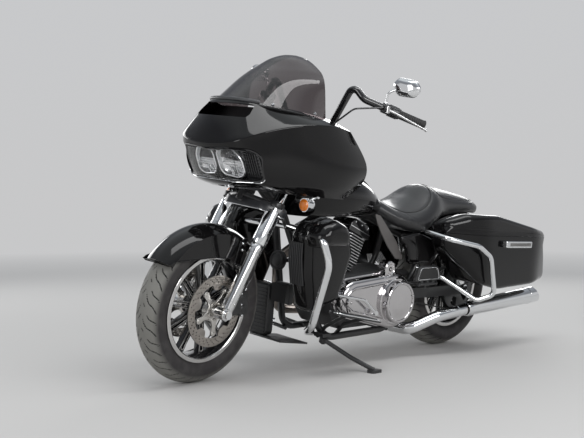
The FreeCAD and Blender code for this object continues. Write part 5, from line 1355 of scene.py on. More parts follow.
# Headlamps: twin reflectors under one clear lens, each a D-shaped pod with a dark upper bowl, a bright bar
# across its middle and a faceted lower reflector, in a gloss black case with ribbed ends.


def clear_of(name, colour=(1, 1, 1), rough=0.0):
    """Clear moulded lens, with faint flow marks."""
    made = finish_of(name, colour, rough + 0.01, bump=0.01, texture=40.0, uneven=0.0)
    made.node_tree.nodes["Principled BSDF"].inputs["Transmission Weight"].default_value = 1.0
    made.node_tree.nodes["Principled BSDF"].inputs["IOR"].default_value = 1.3
    return made


LAMP_Y = 78
LAMP_Z = 925
lens_clear = clear_of("lamp_lens_clear")
reflector = finish_of(
    "lamp_reflector", (0.90, 0.91, 0.92), 0.30, metallic=1.0, bump=0.2, texture=60.0, uneven=0.06)
bowl_dark = finish_of("lamp_bowl_dark", (0.22, 0.22, 0.225), 0.25, metallic=0.8, coat=0.4, bump=0.1)
lamp_bar = finish_of("lamp_bar_white", (0.88, 0.90, 0.92), 0.2, bump=0.1)
case_black = finish_of("lamp_case_black", (0.010, 0.010, 0.011), 0.22, coat=0.5, bump=0.05)


def lamp_face(y, z, back=0.0):
    """A point on the plane of the two lamps, which stand well back from the nose and lean with it."""
    return Vector((771 - 0.1 * abs(y) + 0.45 * (z - 925) - back, y, z))


case_rings = []
for inset, back in ((-8, 26), (0, 10), (3, 6), (8, 10), (12, 26)):
    case_rings.append([
        on_shell(p.x * (1 - inset / 238), 915 + (p.y - 915) * (1 - inset / 70), -back) for p in lamp_opening])
case_rings.append([Vector((min(p.x, lamp_face(p.y, p.z, 12).x), p.y, p.z)) for p in case_rings[-1]])
surround = loft(case_rings, ends=False)
bowl_outline = flat_outline((
    (-66, -50, 34), (24, -60, 40), (68, -48, 34), (67, 18, 46), (32, 60, 44), (-52, 60, 34), (-68, 30, 40)))
case_outline = flat_outline(((-231, 850, 30), (231, 850, 30), (236, 986, 44), (-236, 986, 44)))
bays = [[Vector((side * (LAMP_Y + p.x), LAMP_Z + p.y, 0)) for p in bowl_outline] for side in (1, -1)]
backing = front_plate([case_outline] + bays, 0, 4)
backing = [lamp_face(v.y, v.z, 12 - v.x) for v in backing[0]], backing[1], backing[2]
ribs = []
for side in (1, -1):
    for k in range(9):
        ribs.append(tube([lamp_face(side * y, 866 + 13 * k, 6) for y in range(150, 224, 8)], 2.4, 6))
    for k in range(6):
        ribs.append(tube([lamp_face(side * (154 + 12 * k), z, 6) for z in range(862, 976, 12)], 3.0, 6))
piece("lamp_case_black", joined(surround, backing, *ribs), case_black, (), angle=40)


def lamp(side):
    """One reflector: a D-shaped ring, a dark upper bowl, a bright bar and a faceted lower bowl."""

    def at(p, share, back):
        return lamp_face(side * (LAMP_Y + p.x * share), LAMP_Z + p.y * share, back - 6)

    ring = loft(
        [[at(p, s, b) for p in bowl_outline]
         for s, b in ((1.03, 16), (1.03, 3), (0.99, -1), (0.93, 1), (0.90, 16))],
        ends=False)
    steps = ((0.94, 14), (0.82, 30), (0.66, 44), (0.45, 54), (0.2, 60), (0.02, 62))
    verts, faces, _ = loft([[at(p, s, b) for p in bowl_outline] for s, b in steps], ends=False)
    marks = [1 if sum(verts[i].z for i in f) / len(f) > 930 else 0 for f in faces]
    bars = []
    for z, y0, y1, r in ((922, -54, 56, 5.0), (912, -48, 54, 3.0), (931, -46, 50, 2.4)):
        line = [lamp_face(side * (LAMP_Y + y0 + (y1 - y0) * k / 8), z, 14) for k in range(9)]
        bars.append(in_finish(tube(line, r, 8), 2))
    for y in (-28, 0, 28):
        bars.append(
            in_finish(
                tube(
                    [lamp_face(side * (LAMP_Y + y), z, 18 + (912 - z) * 0.3) for z in (908, 892, 876)], 5.5,
                    6),
                2))
    return joined(ring, (verts, faces, marks), *bars)


piece(
    "headlamp_reflectors", joined(lamp(1), lamp(-1)), [reflector, bowl_dark, lamp_bar], ["headlamps"],
    angle=25)
lens_rows = []
for z in range(858, 976, 9):
    lens_rows.append([on_shell(y, z, -5 - 3 * (abs(y) / 150) ** 4) for y in range(-146, 150, 8)])
lens = loft(lens_rows, ends=False, closed=False)
piece("headlamp_lens", cut_from("lens", lens, [], 2.5), lens_clear, (), angle=40)

# Dash and inner fairing: the instrument panel and the two side pockets behind the fairing, moulded in one
# with it in satin black. They keep their own solids.

panel_black = finish_of("panel_moulded_black", (0.022, 0.022, 0.023), 0.6, bump=0.5, texture=1100.0)
dress(panel_black, "dash")

# Windshield: one moulded sheet of dark smoke-tinted clear plastic, curled back at the top, on a black rubber
# gasket with a trim band and chrome screws, over the moulded lip of the air slot.

smoke = finish_of("smoked_plastic", (0.115, 0.096, 0.098), 0.012, coat=0.4, bump=0.0, uneven=0.02)
smoke.node_tree.nodes["Principled BSDF"].inputs["Transmission Weight"].default_value = 1.0
smoke.node_tree.nodes["Principled BSDF"].inputs["IOR"].default_value = 1.42
shield_rows = eased(((406, 246, 748, 1118, 1170), (412, 234, 640, 1256, 1256), (392, 196, 576, 1308, 1308),
                     (384, 156, 534, 1338, 1338), (378, 100, 492, 1368, 1368), (374, 54, 456, 1384, 1384),
                     (371, 18, 430, 1391, 1391)), 10)
shield_skin = loft(
    [arc_in_space((rx, ry, rz), (nx, 0, nz), (rx, -ry, rz), 64) for rx, ry, nx, rz, nz in shield_rows],
    ends=False, closed=False)
piece(
    "windshield_smoked", cut_from("shield", shield_skin, [], 3.6), smoke, ["windshield"],
    angle=50)
gasket_black = finish_of("gasket_rubber", (0.016, 0.016, 0.017), 0.45, bump=0.3)
base = [p + Vector((2.0, 0, 0)) for p in shield_skin[0][:65]]
gasket = tube(base, 5.5, 10, 0.7)
screws = [
    in_finish(
        bolt(shield_skin[0][65 * 2 + i] + Vector((1.5, 0, 0)), (1, 0.6 if i < 32 else -0.6, 0.3), 6, 5), 1)
    for i in (5, 18, 46, 59)]
lip_line = [p + Vector((0, 0, 1)) for p in shell_rows[-1] if abs(p.y) < 150 and p.x > 640]
lip = in_finish(tube(lip_line, 8, 12), 2)
lip_grey = finish_of("lip_dark_grey", (0.050, 0.051, 0.054), 0.38, bump=0.3)
piece(
    "windshield_gasket_and_screws", joined(gasket, lip, *screws), [gasket_black, chrome, lip_grey], ())

# Front signals: chrome bullet housings with amber lenses, each on a short stalk that is bolted under the
# fairing's side.

amber = finish_of("lens_amber", (0.75, 0.20, 0.015), 0.12, coat=0.8, bump=0.3, texture=300.0)
signal_profile = ((0, 0), (0, 12), (6, 22), (20, 28), (44, 29), (50, 29), (50, 26.5), (50.2, 0))
signal = along((436, 236, 768), (492, 236, 768), signal_profile, 40)
signal_lens = in_finish(
    along((484, 236, 768), (492, 236, 768), ((0, 0), (0, 26), (3, 25.5), (6, 21), (7.5, 12), (8, 0)), 40), 1)
signal_stalk = tube(rounded(((458, 236, 788), (458, 260, 800, 10), (458, 290, 806))), 7, 16)
piece(
    "front_signals_chrome", both_sides(joined(signal, signal_lens, signal_stalk)), [chrome, amber],
    ["front_signals"])

# Lower fairings: deep moulded leg shields, gloss black, clamped to the guard bar. Each has a rounded pod on
# its outer upper corner and a louvre of upright black slats on its front inner side.

lower_points = (
    (496, 640, 40), (452, 700, 50), (380, 724, 60), (262, 690, 70), (204, 570, 60), (250, 430, 120),
    (290, 350, 24), (440, 312, 24), (486, 480, 200))


def evenly(points, count):
    """A closed outline with its points evenly spaced."""
    total = sum((points[i] - points[i - 1]).length for i in range(len(points)))
    out = []
    travelled = 0.0
    for i in range(len(points)):
        a = points[i]
        b = points[(i + 1) % len(points)]
        long = (b - a).length
        while len(out) < count and total * len(out) / count < travelled + long:
            out.append(a.lerp(b, (total * len(out) / count - travelled) / max(long, 1e-9)))
        travelled += long
    return out


def lower_ring(y, inset, points=lower_points, middle=(360, 520), half=(145, 200)):
    """One slice of a leg shield, drawn in towards its middle by an inset."""
    wide = 1 - inset / half[0]
    tall = 1 - inset / half[1]
    line = rounded([(middle[0] + (x - middle[0]) * wide, y, middle[1] + (z - middle[1]) * tall, r * wide)
                    for x, z, r in points], True)
    return evenly(line, 120)


shield_slices = [
    (176, 26), (178, 14), (184, 6), (194, 2), (216, 0), (250, 0), (262, 1), (274, 6), (284, 13), (291, 21),
    (295, 31), (296, 40)]
lower_skin = loft([lower_ring(y, inset) for y, inset in shield_slices])
slats = []
for k in range(8):
    y = 186 + 10.5 * k
    slats.append(in_finish(tube(rounded(((500, y, 612), (500, y, 540, 300), (478, y, 430))), 3.6, 8), 1))
bulge_points = (
    (502, 602, 20), (514, 650, 50), (476, 704, 60), (410, 724, 64), (336, 694, 64), (312, 602, 20))
bulge_slices = [
    (272, 30), (278, 12), (287, 3), (298, 0), (322, 0), (338, 1), (353, 4), (366, 10), (377, 19), (384, 30),
    (387.5, 42), (388, 50)]
bulge_skin = loft([lower_ring(y, inset, bulge_points, (408, 658), (100, 62)) for y, inset in bulge_slices])
piece(
    "lower_fairings_gloss", both_sides(joined(lower_skin, bulge_skin, *slats)), [gloss_black, panel_black],
    ["lower_fairings"], angle=40)

# Engine guard: one bent steel bar each side, chrome plated, from the steering neck round the leg shields and
# back to the cradle.

guard_line = rounded((
    (380, 50, 650), (430, 210, 650, 40), (492, 362, 652, 44), (468, 392, 540, 120), (446, 300, 262, 60),
    (320, 150, 200, 60), (262, 122, 186)))
guard = tube(guard_line, 16, 28)
middle_bar = bar((380, -60, 650), (380, 60, 650), 12)
piece("engine_guard_chrome", joined(both_sides(guard), middle_bar), chrome, ["engine_guard"])

# Front units: the finned oil cooler, the satin black regulator box and the horn, bolted to the cradle tubes,
# with a plate under the cradle.

cooler_black = finish_of("cooler_black", (0.020, 0.020, 0.021), 0.45, coat=0.1, bump=0.3)
box_shape = front_plate([((-150, 152, 26), (-10, 152, 26), (-6, 386, 16), (-150, 386, 16))], 372, 420, 8)
box_ribs = [front_plate([rectangle(-142, z, -16, z + 5, 2)], 418, 424, 1) for z in
            range(170, 376, 16)]
cooler_core = front_plate([rectangle(2, 312, 98, 404, 6)], 366, 392, 3)
fins = []
for k in range(15):
    y = 6 + 6.2 * k
    fins.append(front_plate([rectangle(y, 318, y + 2.4, 399, 1)], 390, 414, 0.5))
belly = side_plate([((430, 158, 4), (436, 150, 4), (262, 126, 4), (258, 133, 4))], -96, 104, 2)
arms = [
    bar((380, -92, 350), (284, -86, 366), 8), bar((380, 70, 350), (284, 84, 366), 8),
    bar((376, -20, 350), (376, 20, 350), 8)]
horn = joined(
    along(
        (398, 30, 500), (426, 30, 504),
        ((0, 0), (0, 40), (4, 44), (20, 44), (25, 41), (27, 34), (24, 30), (27, 24), (28, 0)), 48),
    bar((402, 34, 501), (332, 58, 501), 9))
piece(
    "oil_cooler_and_horn", joined(box_shape, cooler_core, belly, *arms, *fins, *box_ribs, horn), cooler_black,
    ["front_units"])

# Seat: moulded foam in black leather-look vinyl, on a pressed base. The rider's bucket has a welted panel
# with a raised bolster round it, and the pillion pad behind it narrows towards the tail, with welts along
# both sides.

seat_rows = (
    (-170, 84, 64, 706, 738, 800), (-290, 160, 124, 640, 682, 758), (-420, 192, 146, 618, 668, 790),
    (-540, 168, 126, 656, 712, 844), (-650, 130, 110, 690, 744, 834), (-850, 122, 106, 704, 748, 802),
    (-935, 104, 92, 700, 740, 782), (-974, 70, 62, 704, 732, 762))
leather = finish_of(
    "seat_leather", (0.017, 0.017, 0.018), 0.33, coat=0.3, bump=0.9, texture=620.0, uneven=0.25)
welt_black = finish_of("seat_welt", (0.012, 0.012, 0.012), 0.45, bump=0.3)
SEAT_CENTRE = Vector((-560, 0, 740))
SEAM_WIDTH = 12
SEAM_DEPTH = 0.0035
MOST_PUSH = 0.007
PASSES = 20


def seat_width(x):
    """Half the seat's width at a station."""
    for a, b in zip(seat_rows, seat_rows[1:]):
        if b[0] <= x <= a[0]:
            return a[1] + (b[1] - a[1]) * (x - a[0]) / (b[0] - a[0])
    return seat_rows[-1][1]


panel_edge = (
    (-196, 0.30), (-235, 0.56), (-300, 0.70), (-380, 0.76), (-460, 0.76), (-520, 0.68), (-552, 0.45),
    (-566, 0.20), (-570, 0.0))
pillion_edge = (
    (-590, 0.0), (-588, 0.35), (-600, 0.66), (-660, 0.78), (-760, 0.80), (-860, 0.79), (-918, 0.68),
    (-938, 0.36), (-942, 0.0))


def seam_plan(edge):
    """A seam seen from above, from its middle round one side."""
    points = [(x, share * seat_width(x), 0) for x, share in edge]
    return [Vector(p) for p in eased(points, 6)]


def with_modifiers(thing):
    """The mesh that an object's modifiers make of it."""
    return bpy.data.meshes.new_from_object(thing.evaluated_get(bpy.context.evaluated_depsgraph_get()))


seams = []
for edge in (panel_edge, pillion_edge):
    one = seam_plan(edge)
    seams.append(one)
    seams.append([Vector((p.x, -p.y, 0)) for p in one])

foam_rows = [
    (x, half - 3.5, low - 3, z0 + 1, z1, z2 - 3.5) for x, half, low, z0, z1, z2 in eased(seat_rows, 10)]
foam = loft([body_ring(*row) for row in foam_rows])
foam_mesh = bpy.data.meshes.new("foam")
foam_mesh.from_pydata([(v - SEAT_CENTRE) * MM for v in foam[0]], [], foam[1])
seat = stand("seat_leather", foam_mesh)
grid = seat.modifiers.new("grid", "REMESH")
grid.mode = "VOXEL"
grid.voxel_size = 0.006
calm = seat.modifiers.new("calm", "SMOOTH")
calm.factor = 0.5
calm.iterations = 6
seat.data = with_modifiers(seat)
seat.modifiers.clear()
start_at = [v.co.copy() for v in seat.data.vertices]


def seam_gap(point):
    """How far a point of the seat lies from the nearest seam, seen from above, in millimetres."""
    x = point.x / MM + SEAT_CENTRE.x
    y = abs(point.y / MM)
    return min(math.hypot(p.x - x, p.y - y) for line in seams[::2] for p in line)


held = seat.vertex_groups.new(name="held")
near_seam = {}
for v in seat.data.vertices:
    near_seam[v.index] = seam_gap(v.co) if v.normal.z > 0.15 else 99.0
    low_part = v.normal.z < -0.35
    held.add([v.index], 1.0 if low_part or near_seam[v.index] < 5 else 0.0, "REPLACE")
padding = seat.modifiers.new("padding", "CLOTH")
padding.settings.quality = 5
padding.settings.mass = 0.3
padding.settings.tension_stiffness = 15
padding.settings.compression_stiffness = 15
padding.settings.bending_stiffness = 0.6
padding.settings.use_pressure = True
padding.settings.uniform_pressure_force = 4.0
padding.settings.vertex_group_mass = "held"
padding.settings.effector_weights.gravity = 0.0
padding.collision_settings.use_collision = False
padding.point_cache.frame_start = 1
padding.point_cache.frame_end = PASSES
for frame_number in range(1, PASSES + 1):
    bpy.context.scene.frame_set(frame_number)
blown = with_modifiers(seat)
bpy.context.scene.frame_set(1)
seat.modifiers.clear()
for v, old in zip(blown.vertices, start_at):
    push = v.co - old
    if push.length > MOST_PUSH:
        v.co = old + push.normalized() * MOST_PUSH
seat.data = blown
for v in seat.data.vertices:
    gap = near_seam[v.index]
    if gap < SEAM_WIDTH:
        v.co.z -= SEAM_DEPTH * (1 - gap / SEAM_WIDTH) ** 2
rounder = seat.modifiers.new("rounder", "SUBSURF")
rounder.levels = 1
seat.data = with_modifiers(seat)
seat.modifiers.clear()
seat.vertex_groups.clear()
seat.data.materials.clear()
seat.data.materials.append(leather)
seat.data.shade_smooth()
seat.matrix_world = PARKED @ Matrix.Translation(SEAT_CENTRE * MM)
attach(seat, "chassis")
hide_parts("seat")

seat_skin = BVHTree.FromPolygons(
    [tuple(v.co) for v in seat.data.vertices], [tuple(p.vertices) for p in seat.data.polygons])
welts = []
for line in seams:
    laid = []
    for p in line:
        hit = seat_skin.ray_cast(Vector(((p.x - SEAT_CENTRE.x) * MM, p.y * MM, 0.4)), Vector((0, 0, -1)))
        if hit[0]:
            laid.append(hit[0] / MM + SEAT_CENTRE + Vector((0, 0, 0.6)))
    welts.append(tube(laid, 1.9, 8))
piece("seat_welts", joined(*welts), welt_black, (), "chassis", SEAT_CENTRE)

# Side covers: a rounded gloss black cover over the battery and oil tank each side, and the flat grey strip
# that runs down from the tank beside the frame rail.

strip_grey = finish_of("strip_grey", (0.105, 0.098, 0.095), 0.42, coat=0.1, bump=0.1)


def inset_outline(points, distances):
    """An outline drawn in by its own distance at each point."""
    count = len(points)
    area = sum(points[i - 1].x * points[i].y - points[i].x * points[i - 1].y for i in range(count))
    sign = 1.0 if area > 0 else -1.0
    out = []
    for i in range(count):
        way = (points[(i + 1) % count] - points[i - 1]).normalized()
        out.append(points[i] + Vector((-way.y, way.x)) * sign * distances[i])
    return out


def pillow(points, face, back, radii, count=260, rings=12):
    """A box seen from the side, with a curved outer face and an edge of its own radius at each point."""
    edge = evenly([Vector((x, z)) for x, z in points], count)
    around = [radii(p.x, p.y) for p in edge]
    rows = [[Vector((p.x, back(p.x, p.y) if callable(back) else back, p.y)) for p in edge]]
    for k in range(9):
        turn = math.pi / 2 * k / 8
        drawn = inset_outline(edge, [r * (1 - math.cos(turn)) for r in around])
        rows.append([
            Vector((q.x, face(q.x, q.y) - r * (1 - math.sin(turn)), q.y)) for q, r in zip(drawn, around)])
    centre = sum((Vector((q.x, q.z)) for q in rows[-1]), Vector((0, 0))) / count
    last = rows[-1]
    for k in range(1, rings + 1):
        share = 1 - k / rings * 0.985
        row = []
        for q in last:
            x = centre.x + (q.x - centre.x) * share
            z = centre.y + (q.z - centre.y) * share
            row.append(Vector((x, face(x, z), z)))
        rows.append(row)
    return loft(rows)


cover_line = [
    (p.x, p.y)
    for p in flat_outline((
        (-236, 600, 30), (-300, 560, 60), (-330, 470, 30), (-470, 470, 40), (-540, 500, 40), (-500, 590, 60),
        (-380, 625, 60)))]
side_cover = pillow(
    cover_line, lambda x, z: 178 - ((x + 390) / 150) ** 2 * 10 - ((z - 540) / 80) ** 2 * 5, 152, lambda x,
    z: 12, 200, 8)
cover_post = bar((-440, 112, 560), (-440, 153, 560), 9)
strip = in_finish(
    side_plate(
        [((-88, 712, 6), (-126, 704, 6), (-188, 646, 60), (-255, 582, 80), (-322, 488, 8), (-264, 494, 8),
          (-198, 554, 80), (-144, 620, 80), (-110, 668, 40))],
        132, 138, 1),
    1)
piece(
    "side_covers_gloss", both_sides(joined(side_cover, cover_post, strip)), [gloss_black, strip_grey],
    ["side_covers"], angle=40)

# Rear fender: a deep guard over the rear tyre, pressed from steel and painted gloss black, with a rolled
# lower edge. It is bolted between the frame's rear rails.


GUARD_X = -845
GUARD_Z = 268
guard_angles = [math.radians(42 - 2 * k) for k in range(65)]


def by_guard(lean, radius, y):
    """A point round the rear guard's own middle, leaning forward or back from straight up."""
    return Vector((GUARD_X + math.sin(lean) * radius, y, GUARD_Z + math.cos(lean) * radius))


def rear_fender_ring(lean):
    """One station of the rear guard, from its left skirt over the crown to the right one."""
    crown = arc_through((106, 414), (0, 446), (-106, 414), 30)
    outer = [(108, 354), (108, 380), (107.5, 404)] + crown + [(-107.5, 404), (-108, 380), (-108, 354)]
    inner = [(y * (105.0 / 108.0), r - (3.0 if abs(y) < 107 else 0.0)) for y, r in reversed(outer)]
    return [by_guard(lean, r, y) for y, r in outer + inner]


rear_fender = loft([rear_fender_ring(lean) for lean in guard_angles])
rolled = [tube([by_guard(lean, 356, side * 107) for lean in guard_angles], 2.6, 8) for side in (1, -1)]
piece(
    "rear_fender_gloss", joined(rear_fender, *rolled), gloss_black, ["rear_fender"], angle=35)

# Rear lamps: a chrome bar across the guard with a bullet lamp at each end, red lenses, and a blank number
# plate on its black bracket.

lens_red = finish_of("lens_red", (0.42, 0.008, 0.006), 0.12, coat=0.8, bump=0.3, texture=300.0)
plate_white = finish_of("plate_blank", (0.62, 0.62, 0.60), 0.4, coat=0.2, bump=0.05)
TAIL_X = -1291.0
tail_bar = bar((TAIL_X + 60, -136, 520), (TAIL_X + 60, 136, 520), 9)
tail_lamp = along(
    (TAIL_X + 60, 140, 520), (TAIL_X + 2, 140, 520),
    ((0, 0), (0, 10), (8, 22), (24, 30), (52, 32), (56, 32), (58, 30), (58, 0)), 48)
tail_lens = in_finish(
    along((TAIL_X + 3, 140, 520), (TAIL_X - 2, 140, 520), ((0, 0), (0, 29), (2, 28), (4.5, 18), (5, 0)), 48),
    1)
bracket = in_finish(side_plate([((TAIL_X - 12, 440, 2), (TAIL_X + 62, 440, 2), (TAIL_X + 92, 530, 2),
                                              (TAIL_X + 46, 530, 2), (TAIL_X - 12, 476, 2))], -30, 30, 2), 2)
number_plate = in_finish(front_plate([rectangle(-90, 386, 90, 492, 10)], TAIL_X - 14,
                                     TAIL_X - 10, 0.8), 3)
piece("rear_lamps_chrome", joined(tail_bar, both_sides(joined(tail_lamp, tail_lens)), bracket, number_plate),
      [chrome, lens_red, case_black, plate_white], ["rear_lamps"])

# Saddlebags: hard moulded boxes in gloss black, 4 mm walls, lined in black, each with a crowned outer face, a
# chrome latch with a ribbed insert, and a separate lid that hinges at its outer edge.

bag_plan = rounded([(-440, 277.5, 0), (-640, 378, 0, 260), (-1100, 392, 0, 300), (-1275, 341.2, 0)])


def bag_face(x, z=0.0):
    """How far out a bag's outer face stands, above a place along it."""
    for a, b in zip(bag_plan, bag_plan[1:]):
        if b.x <= x <= a.x:
            return a.y + (b.y - a.y) * (x - a.x) / (b.x - a.x)
    return bag_plan[0].y if x > bag_plan[0].x else bag_plan[-1].y


def parting(x):
    """The height of the line where lid and bag meet."""
    return 634 + (x + 448) * (609 - 634) / (-1190 + 448)


def bag_edge(low, front, rear):
    """The edge radius of a bag or lid at each point of its side outline."""

    def radius(x, z):
        near_line = min(1.0, max(0.0, (abs(z - parting(x)) - 2) / 34))
        full = front if x > -540 else rear if x < -1170 else low
        if -540 > x > -640:
            full = low + (front - low) * (x + 640) / 100
        if -1080 > x > -1170:
            full = low + (rear - low) * (-1080 - x) / 90
        return 2.0 + (full - 2.0) * near_line

    return radius


bag_line = [
    (p.x, p.y)
    for p in flat_outline((
        (-448, 634, 0.5), (-462, 560, 60), (-640, 388, 90), (-790, 354, 200), (-1268, 372, 44),
        (-1236, 500, 200), (-1190, 609, 0.5)))]
lid_line = [
    (p.x, p.y)
    for p in flat_outline((
        (-448, 634.4, 0.5), (-455, 700, 40), (-560, 728, 120), (-760, 722, 200), (-1172, 638, 26),
        (-1190, 609.4, 0.5)))]
BAG_INNER = 205
BAG_WALL = 4.5
lining = finish_of("bag_lining", (0.02, 0.02, 0.02), 0.8, bump=0.8, texture=900.0)


bag_skin = pillow(bag_line, bag_face, BAG_INNER, bag_edge(20, 40, 32))
bag_room_line = flat_outline((
    (-452, 700, 0.5), (-466, 562, 56), (-642, 393, 86), (-790, 359, 196), (-1262, 377, 40), (-1231, 500, 196),
    (-1170, 700, 0.5)))
bag_room = pillow(
    [(p.x, p.y) for p in bag_room_line], lambda x, z: bag_face(x) - BAG_WALL, BAG_INNER + 4,
    bag_edge(18, 36, 28), 200, 10)


def carve(shell, room, name):
    """The shell with the room cut out."""
    made = []
    for number, shape in enumerate((shell, room)):
        thing = stand(f"{name}_{number}", clean_mesh(f"{name}_{number}", shape, weld=1e-6))
        thing.data.materials.append(gloss_black if number == 0 else lining)
        made.append(thing)
    cut = made[0].modifiers.new("cut", "BOOLEAN")
    cut.operation = "DIFFERENCE"
    cut.solver = "EXACT"
    cut.use_self = True
    cut.material_mode = "TRANSFER"
    cut.object = made[1]
    final = with_modifiers(made[0])
    marks = [1 if final.materials[p.material_index] == lining else 0 for p in final.polygons]
    shape = [v.co / MM for v in final.vertices], [tuple(p.vertices) for p in final.polygons], marks
    for thing in made:
        bpy.data.objects.remove(thing)
    return shape


bag = carve(bag_skin, bag_room, "bag")
piece(
    "saddlebag_left_gloss", bag, [gloss_black, lining], ["saddlebag_left"], "chassis",
    (-850, 300, 500), angle=38)
piece(
    "saddlebag_right_gloss", other_side(bag), [gloss_black, lining], ["saddlebag_right"],
    "chassis", (-850, -300, 500), angle=38)

LID_RIDGE = 320


def lid_face(x, z):
    """The lid's outer face, which leans in towards its top."""
    return bag_face(x) - max(0.0, z - parting(x)) ** 1.5 * 0.012


lid_skin = pillow(lid_line, lid_face, BAG_INNER, bag_edge(26, 40, 24))
lid_room_line = flat_outline((
    (-452, 560, 0.5), (-459, 698, 36), (-562, 723.5, 116), (-760, 717.5, 196), (-1168, 634, 22),
    (-1183, 560, 0.5)))
lid_room = pillow(
    [(p.x, p.y) for p in lid_room_line], lambda x, z: lid_face(x, z) - BAG_WALL, BAG_INNER + 4,
    bag_edge(22, 36, 20), 200, 10)
for v in lid_skin[0] + lid_room[0]:
    if v.y < LID_RIDGE and v.z > parting(v.x):
        v.z -= 20 * ((LID_RIDGE - v.y) / 115) ** 2 * min(1, (v.z - parting(v.x)) / 30)
lid = carve(lid_skin, lid_room, "lid")
piece(
    "lid_left_gloss", lid, [gloss_black, lining], ["lid_left"], "lid_left_body",
    (-800, 300, 670), angle=38)
piece(
    "lid_right_gloss", other_side(lid), [gloss_black, lining], ["lid_right"], "lid_right_body",
    (-800, -300, 670), angle=38)

latch_grey = finish_of("latch_insert", (0.20, 0.195, 0.19), 0.35, metallic=0.4, bump=0.2)
latch = side_plate([((-792, 566, 8), (-1022, 558, 8), (-1022, 592, 8), (-792, 600, 8))], 384, 404, 5, 3)
latch_block = in_finish(
    side_plate([((-768, 569, 8), (-798, 568, 8), (-798, 599, 8), (-768, 600, 8))], 380, 400, 4, 3), 2)
latch_insert = in_finish(
    side_plate([((-820, 574, 3), (-1008, 567, 3), (-1008, 583, 3), (-820, 590, 3))], 403, 405, 0.5), 1)
latch_ribs = [in_finish(side_plate([rectangle(x, 573, x - 1.6, 585, 0.5)], 404.5,
                                   405.6), 1) for x in range(-826, -1000, -7)]
piece(
    "saddlebag_latches_chrome", both_sides(joined(latch, latch_block, latch_insert, *latch_ribs)),
    [chrome, latch_grey, case_black], ())

# Saddlebag guards: one bent and chromed steel loop each side, from under the seat round the bag's front and
# back to the frame.

bag_guard_line = rounded((
    (-430, 112, 636), (-400, 330, 614, 60), (-545, 412, 584, 60), (-644, 416, 528, 60), (-704, 416, 340, 34),
    (-640, 360, 306, 34), (-540, 215, 402, 40), (-418, 138, 446)))
piece(
    "saddlebag_guards_chrome", both_sides(tube(bag_guard_line, 12.5, 24)), chrome, ["saddlebag_guards"])

# Rear suspension: twin shocks, each a chrome tube over black coils, bolted between the swingarm and the
# frame's rear rail by black eyes.

shock_black = finish_of("shock_black", (0.020, 0.020, 0.021), 0.38, coat=0.2, bump=0.1)
SHOCK_FOOT = (-742, 176, 356)
SHOCK_HEAD = (-640, 176, 620)
shock = along(
    SHOCK_FOOT, SHOCK_HEAD,
    ((0, 0), (0, 25), (3, 27), (40, 27), (42, 24), (96, 24), (98, 27), (278, 27), (282, 25), (283, 0)), 40)
springs = [in_finish(along(SHOCK_FOOT, SHOCK_HEAD, ((44 + 9 * k, 22), (46 + 9 * k, 26.5), (49 + 9 * k, 26.5),
                                                               (51 + 9 * k, 22)), 40), 1) for k in range(6)]
shock_eyes = [
    in_finish(bar((-742, 153, 344), (-742, 180, 344), 13), 1),
    in_finish(bar((-640, 112, 642), (-640, 180, 620), 11), 1)]
piece(
    "shocks_chrome", both_sides(joined(shock, *springs, *shock_eyes)), [chrome, shock_black], ["shocks"])

# Rider boards: cast footboards, satin black, each with a ribbed rubber pad and a chrome rim, on two steel
# arms from the cradle.

board_black = finish_of("board_black", (0.022, 0.022, 0.023), 0.42, coat=0.1, bump=0.2)
pad_rubber = finish_of("pad_rubber", (0.022, 0.022, 0.022), 0.75, bump=0.6, texture=500.0)
board_outline = ((0, -50, 22), (260, -50, 40), (300, 0, 40), (280, 50, 30), (0, 50, 22))
tray = level_plate([board_outline], -7, 3, 2)
rim_line = [
    Vector((p.x, p.y, 2.5))
    for p in flat_outline([(x * 0.985 + 2, y * 0.96, r) for x, y, r in board_outline])]
chrome_rim = in_finish(tube(rim_line + rim_line[:1], 3.2, 10), 2)
mat = in_finish(
    level_plate([[(x * 0.9 + 14, y * 0.84, r * 0.8) for x, y, r in board_outline]], 2.5, 6, 1.5), 1)
mat_ribs = [in_finish(level_plate([rectangle(x, -36, x + 8, 36, 2)], 5.5, 7.6, 0.8), 1)
            for x in range(22, 262, 17)]
board = joined(tray, chrome_rim, mat, *mat_ribs)
board = shifted(tilted(board, -11.5), 52, 305, 258)
mounts = ((80, 258), (200, 281))
arms_left = [tube(rounded(((x, 102, 156), (x, 150, 212, 24), (x, 262, z))), 9, 16) for x, z in mounts]
arms_right = [tube(rounded(((x, -102, 152), (x, -246, 162, 30), (x, -276, z))), 9, 16) for x, z in mounts]
piece(
    "rider_boards_black", joined(both_sides(board), *arms_left, *arms_right),
    [board_black, pad_rubber, chrome], ["rider_boards"])

# Foot controls: a chromed steel shift lever on the left and a chromed brake pedal on the right, each on a
# boss of its own, with rubber pads.

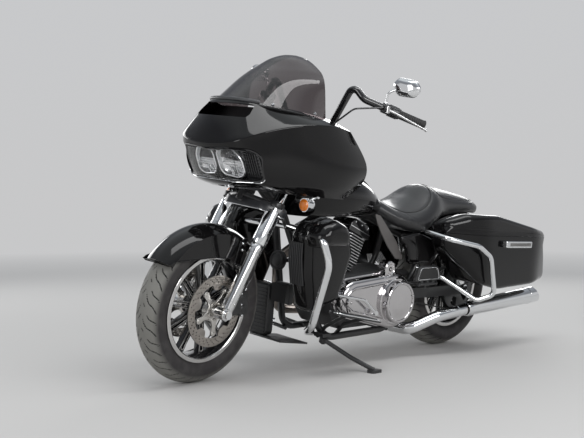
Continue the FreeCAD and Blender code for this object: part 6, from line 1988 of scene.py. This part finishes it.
shift = tube(rounded(((-60, 214, 262), (30, 218, 330, 60), (250, 240, 372, 60), (300, 262, 380))), 7, 16)
shift_boss = bar((-60, 200, 262), (-60, 220, 262), 12)
toe_peg = in_finish(
    along(
        (300, 250, 378), (300, 296, 381),
        ((0, 0), (0, 9), (2, 11), (12, 11), (14, 9.5), (17, 11), (28, 11), (30, 9.5), (33, 11), (44, 10.5),
         (46, 7), (46, 0)),
        24),
    1)
brake = tube(rounded(((60, -190, 300), (200, -214, 340, 60), (300, -252, 372))), 8, 16)
brake_boss = bar((60, -150, 300), (60, -196, 300), 13)
brake_pad = in_finish(
    shifted(tilted(level_plate([rectangle(-30, -26, 30, 26, 8)], -5, 7, 3), -38), 300, -254, 374), 1)
piece(
    "foot_controls_chrome", joined(shift, shift_boss, toe_peg, brake, brake_boss, brake_pad),
    [chrome, pad_rubber], ["foot_controls"])

# Passenger boards: D-shaped boards, cast and painted satin black, with a chrome outline and a rubber pad.
# Each is folded up on its hinge pin.


def passenger_board():
    """The left board, folded up, with its hinge."""
    x, y, z = -395, 226, 382
    outline = ((x - 100, z + 16, 8), (x + 100, z + 16, 8), (x + 74, z + 88, 34), (x - 74, z + 88, 34))
    pad = side_plate([outline], y, y + 17, 4, 3)
    trim = [
        Vector((p.x, y + 17.6, p.y))
        for p in flat_outline([
            (x + (px - x) * 0.83, z + 52 + (pz - z - 52) * 0.78, r * 0.8) for px, pz, r in outline])]
    line = in_finish(tube(trim + trim[:1], 1.9, 8), 2)
    face = in_finish(
        side_plate(
            [[(x + (px - x) * 0.78, z + 52 + (pz - z - 52) * 0.70, r * 0.7) for px, pz, r in outline]],
            y + 16.5, y + 18.6, 0.6),
        1)
    pin = bar((x - 60, y + 8, z), (x + 60, y + 8, z), 9)
    tabs = [
        side_plate(
            [((x + e - 9, z, 4), (x + e + 9, z, 4), (x + e + 9, z + 20, 2), (x + e - 9, z + 20, 2))], y,
            y + 14, 1.5)
        for e in (-44, 0, 44)]
    return joined(pad, line, face, pin, *tabs)


folded = passenger_board()
piece(
    "passenger_board_left_black", folded, [board_black, pad_rubber, chrome], ["passenger_board_left"],
    "passenger_board_left_body", (-395, 234, 382))
piece(
    "passenger_board_right_black", other_side(folded), [board_black, pad_rubber, chrome],
    ["passenger_board_right"], "passenger_board_right_body", (-395, -234, 382))

# Rear caliper and side stand: the caliper is satin black like the front ones, and the stand is a forged steel
# leg with a flat foot. Both keep their own solids.

dress(caliper_black, "rear_caliper")
stand_black = finish_of("stand_black", (0.020, 0.020, 0.021), 0.4, coat=0.15, bump=0.2)
dress(stand_black, "side_stand")
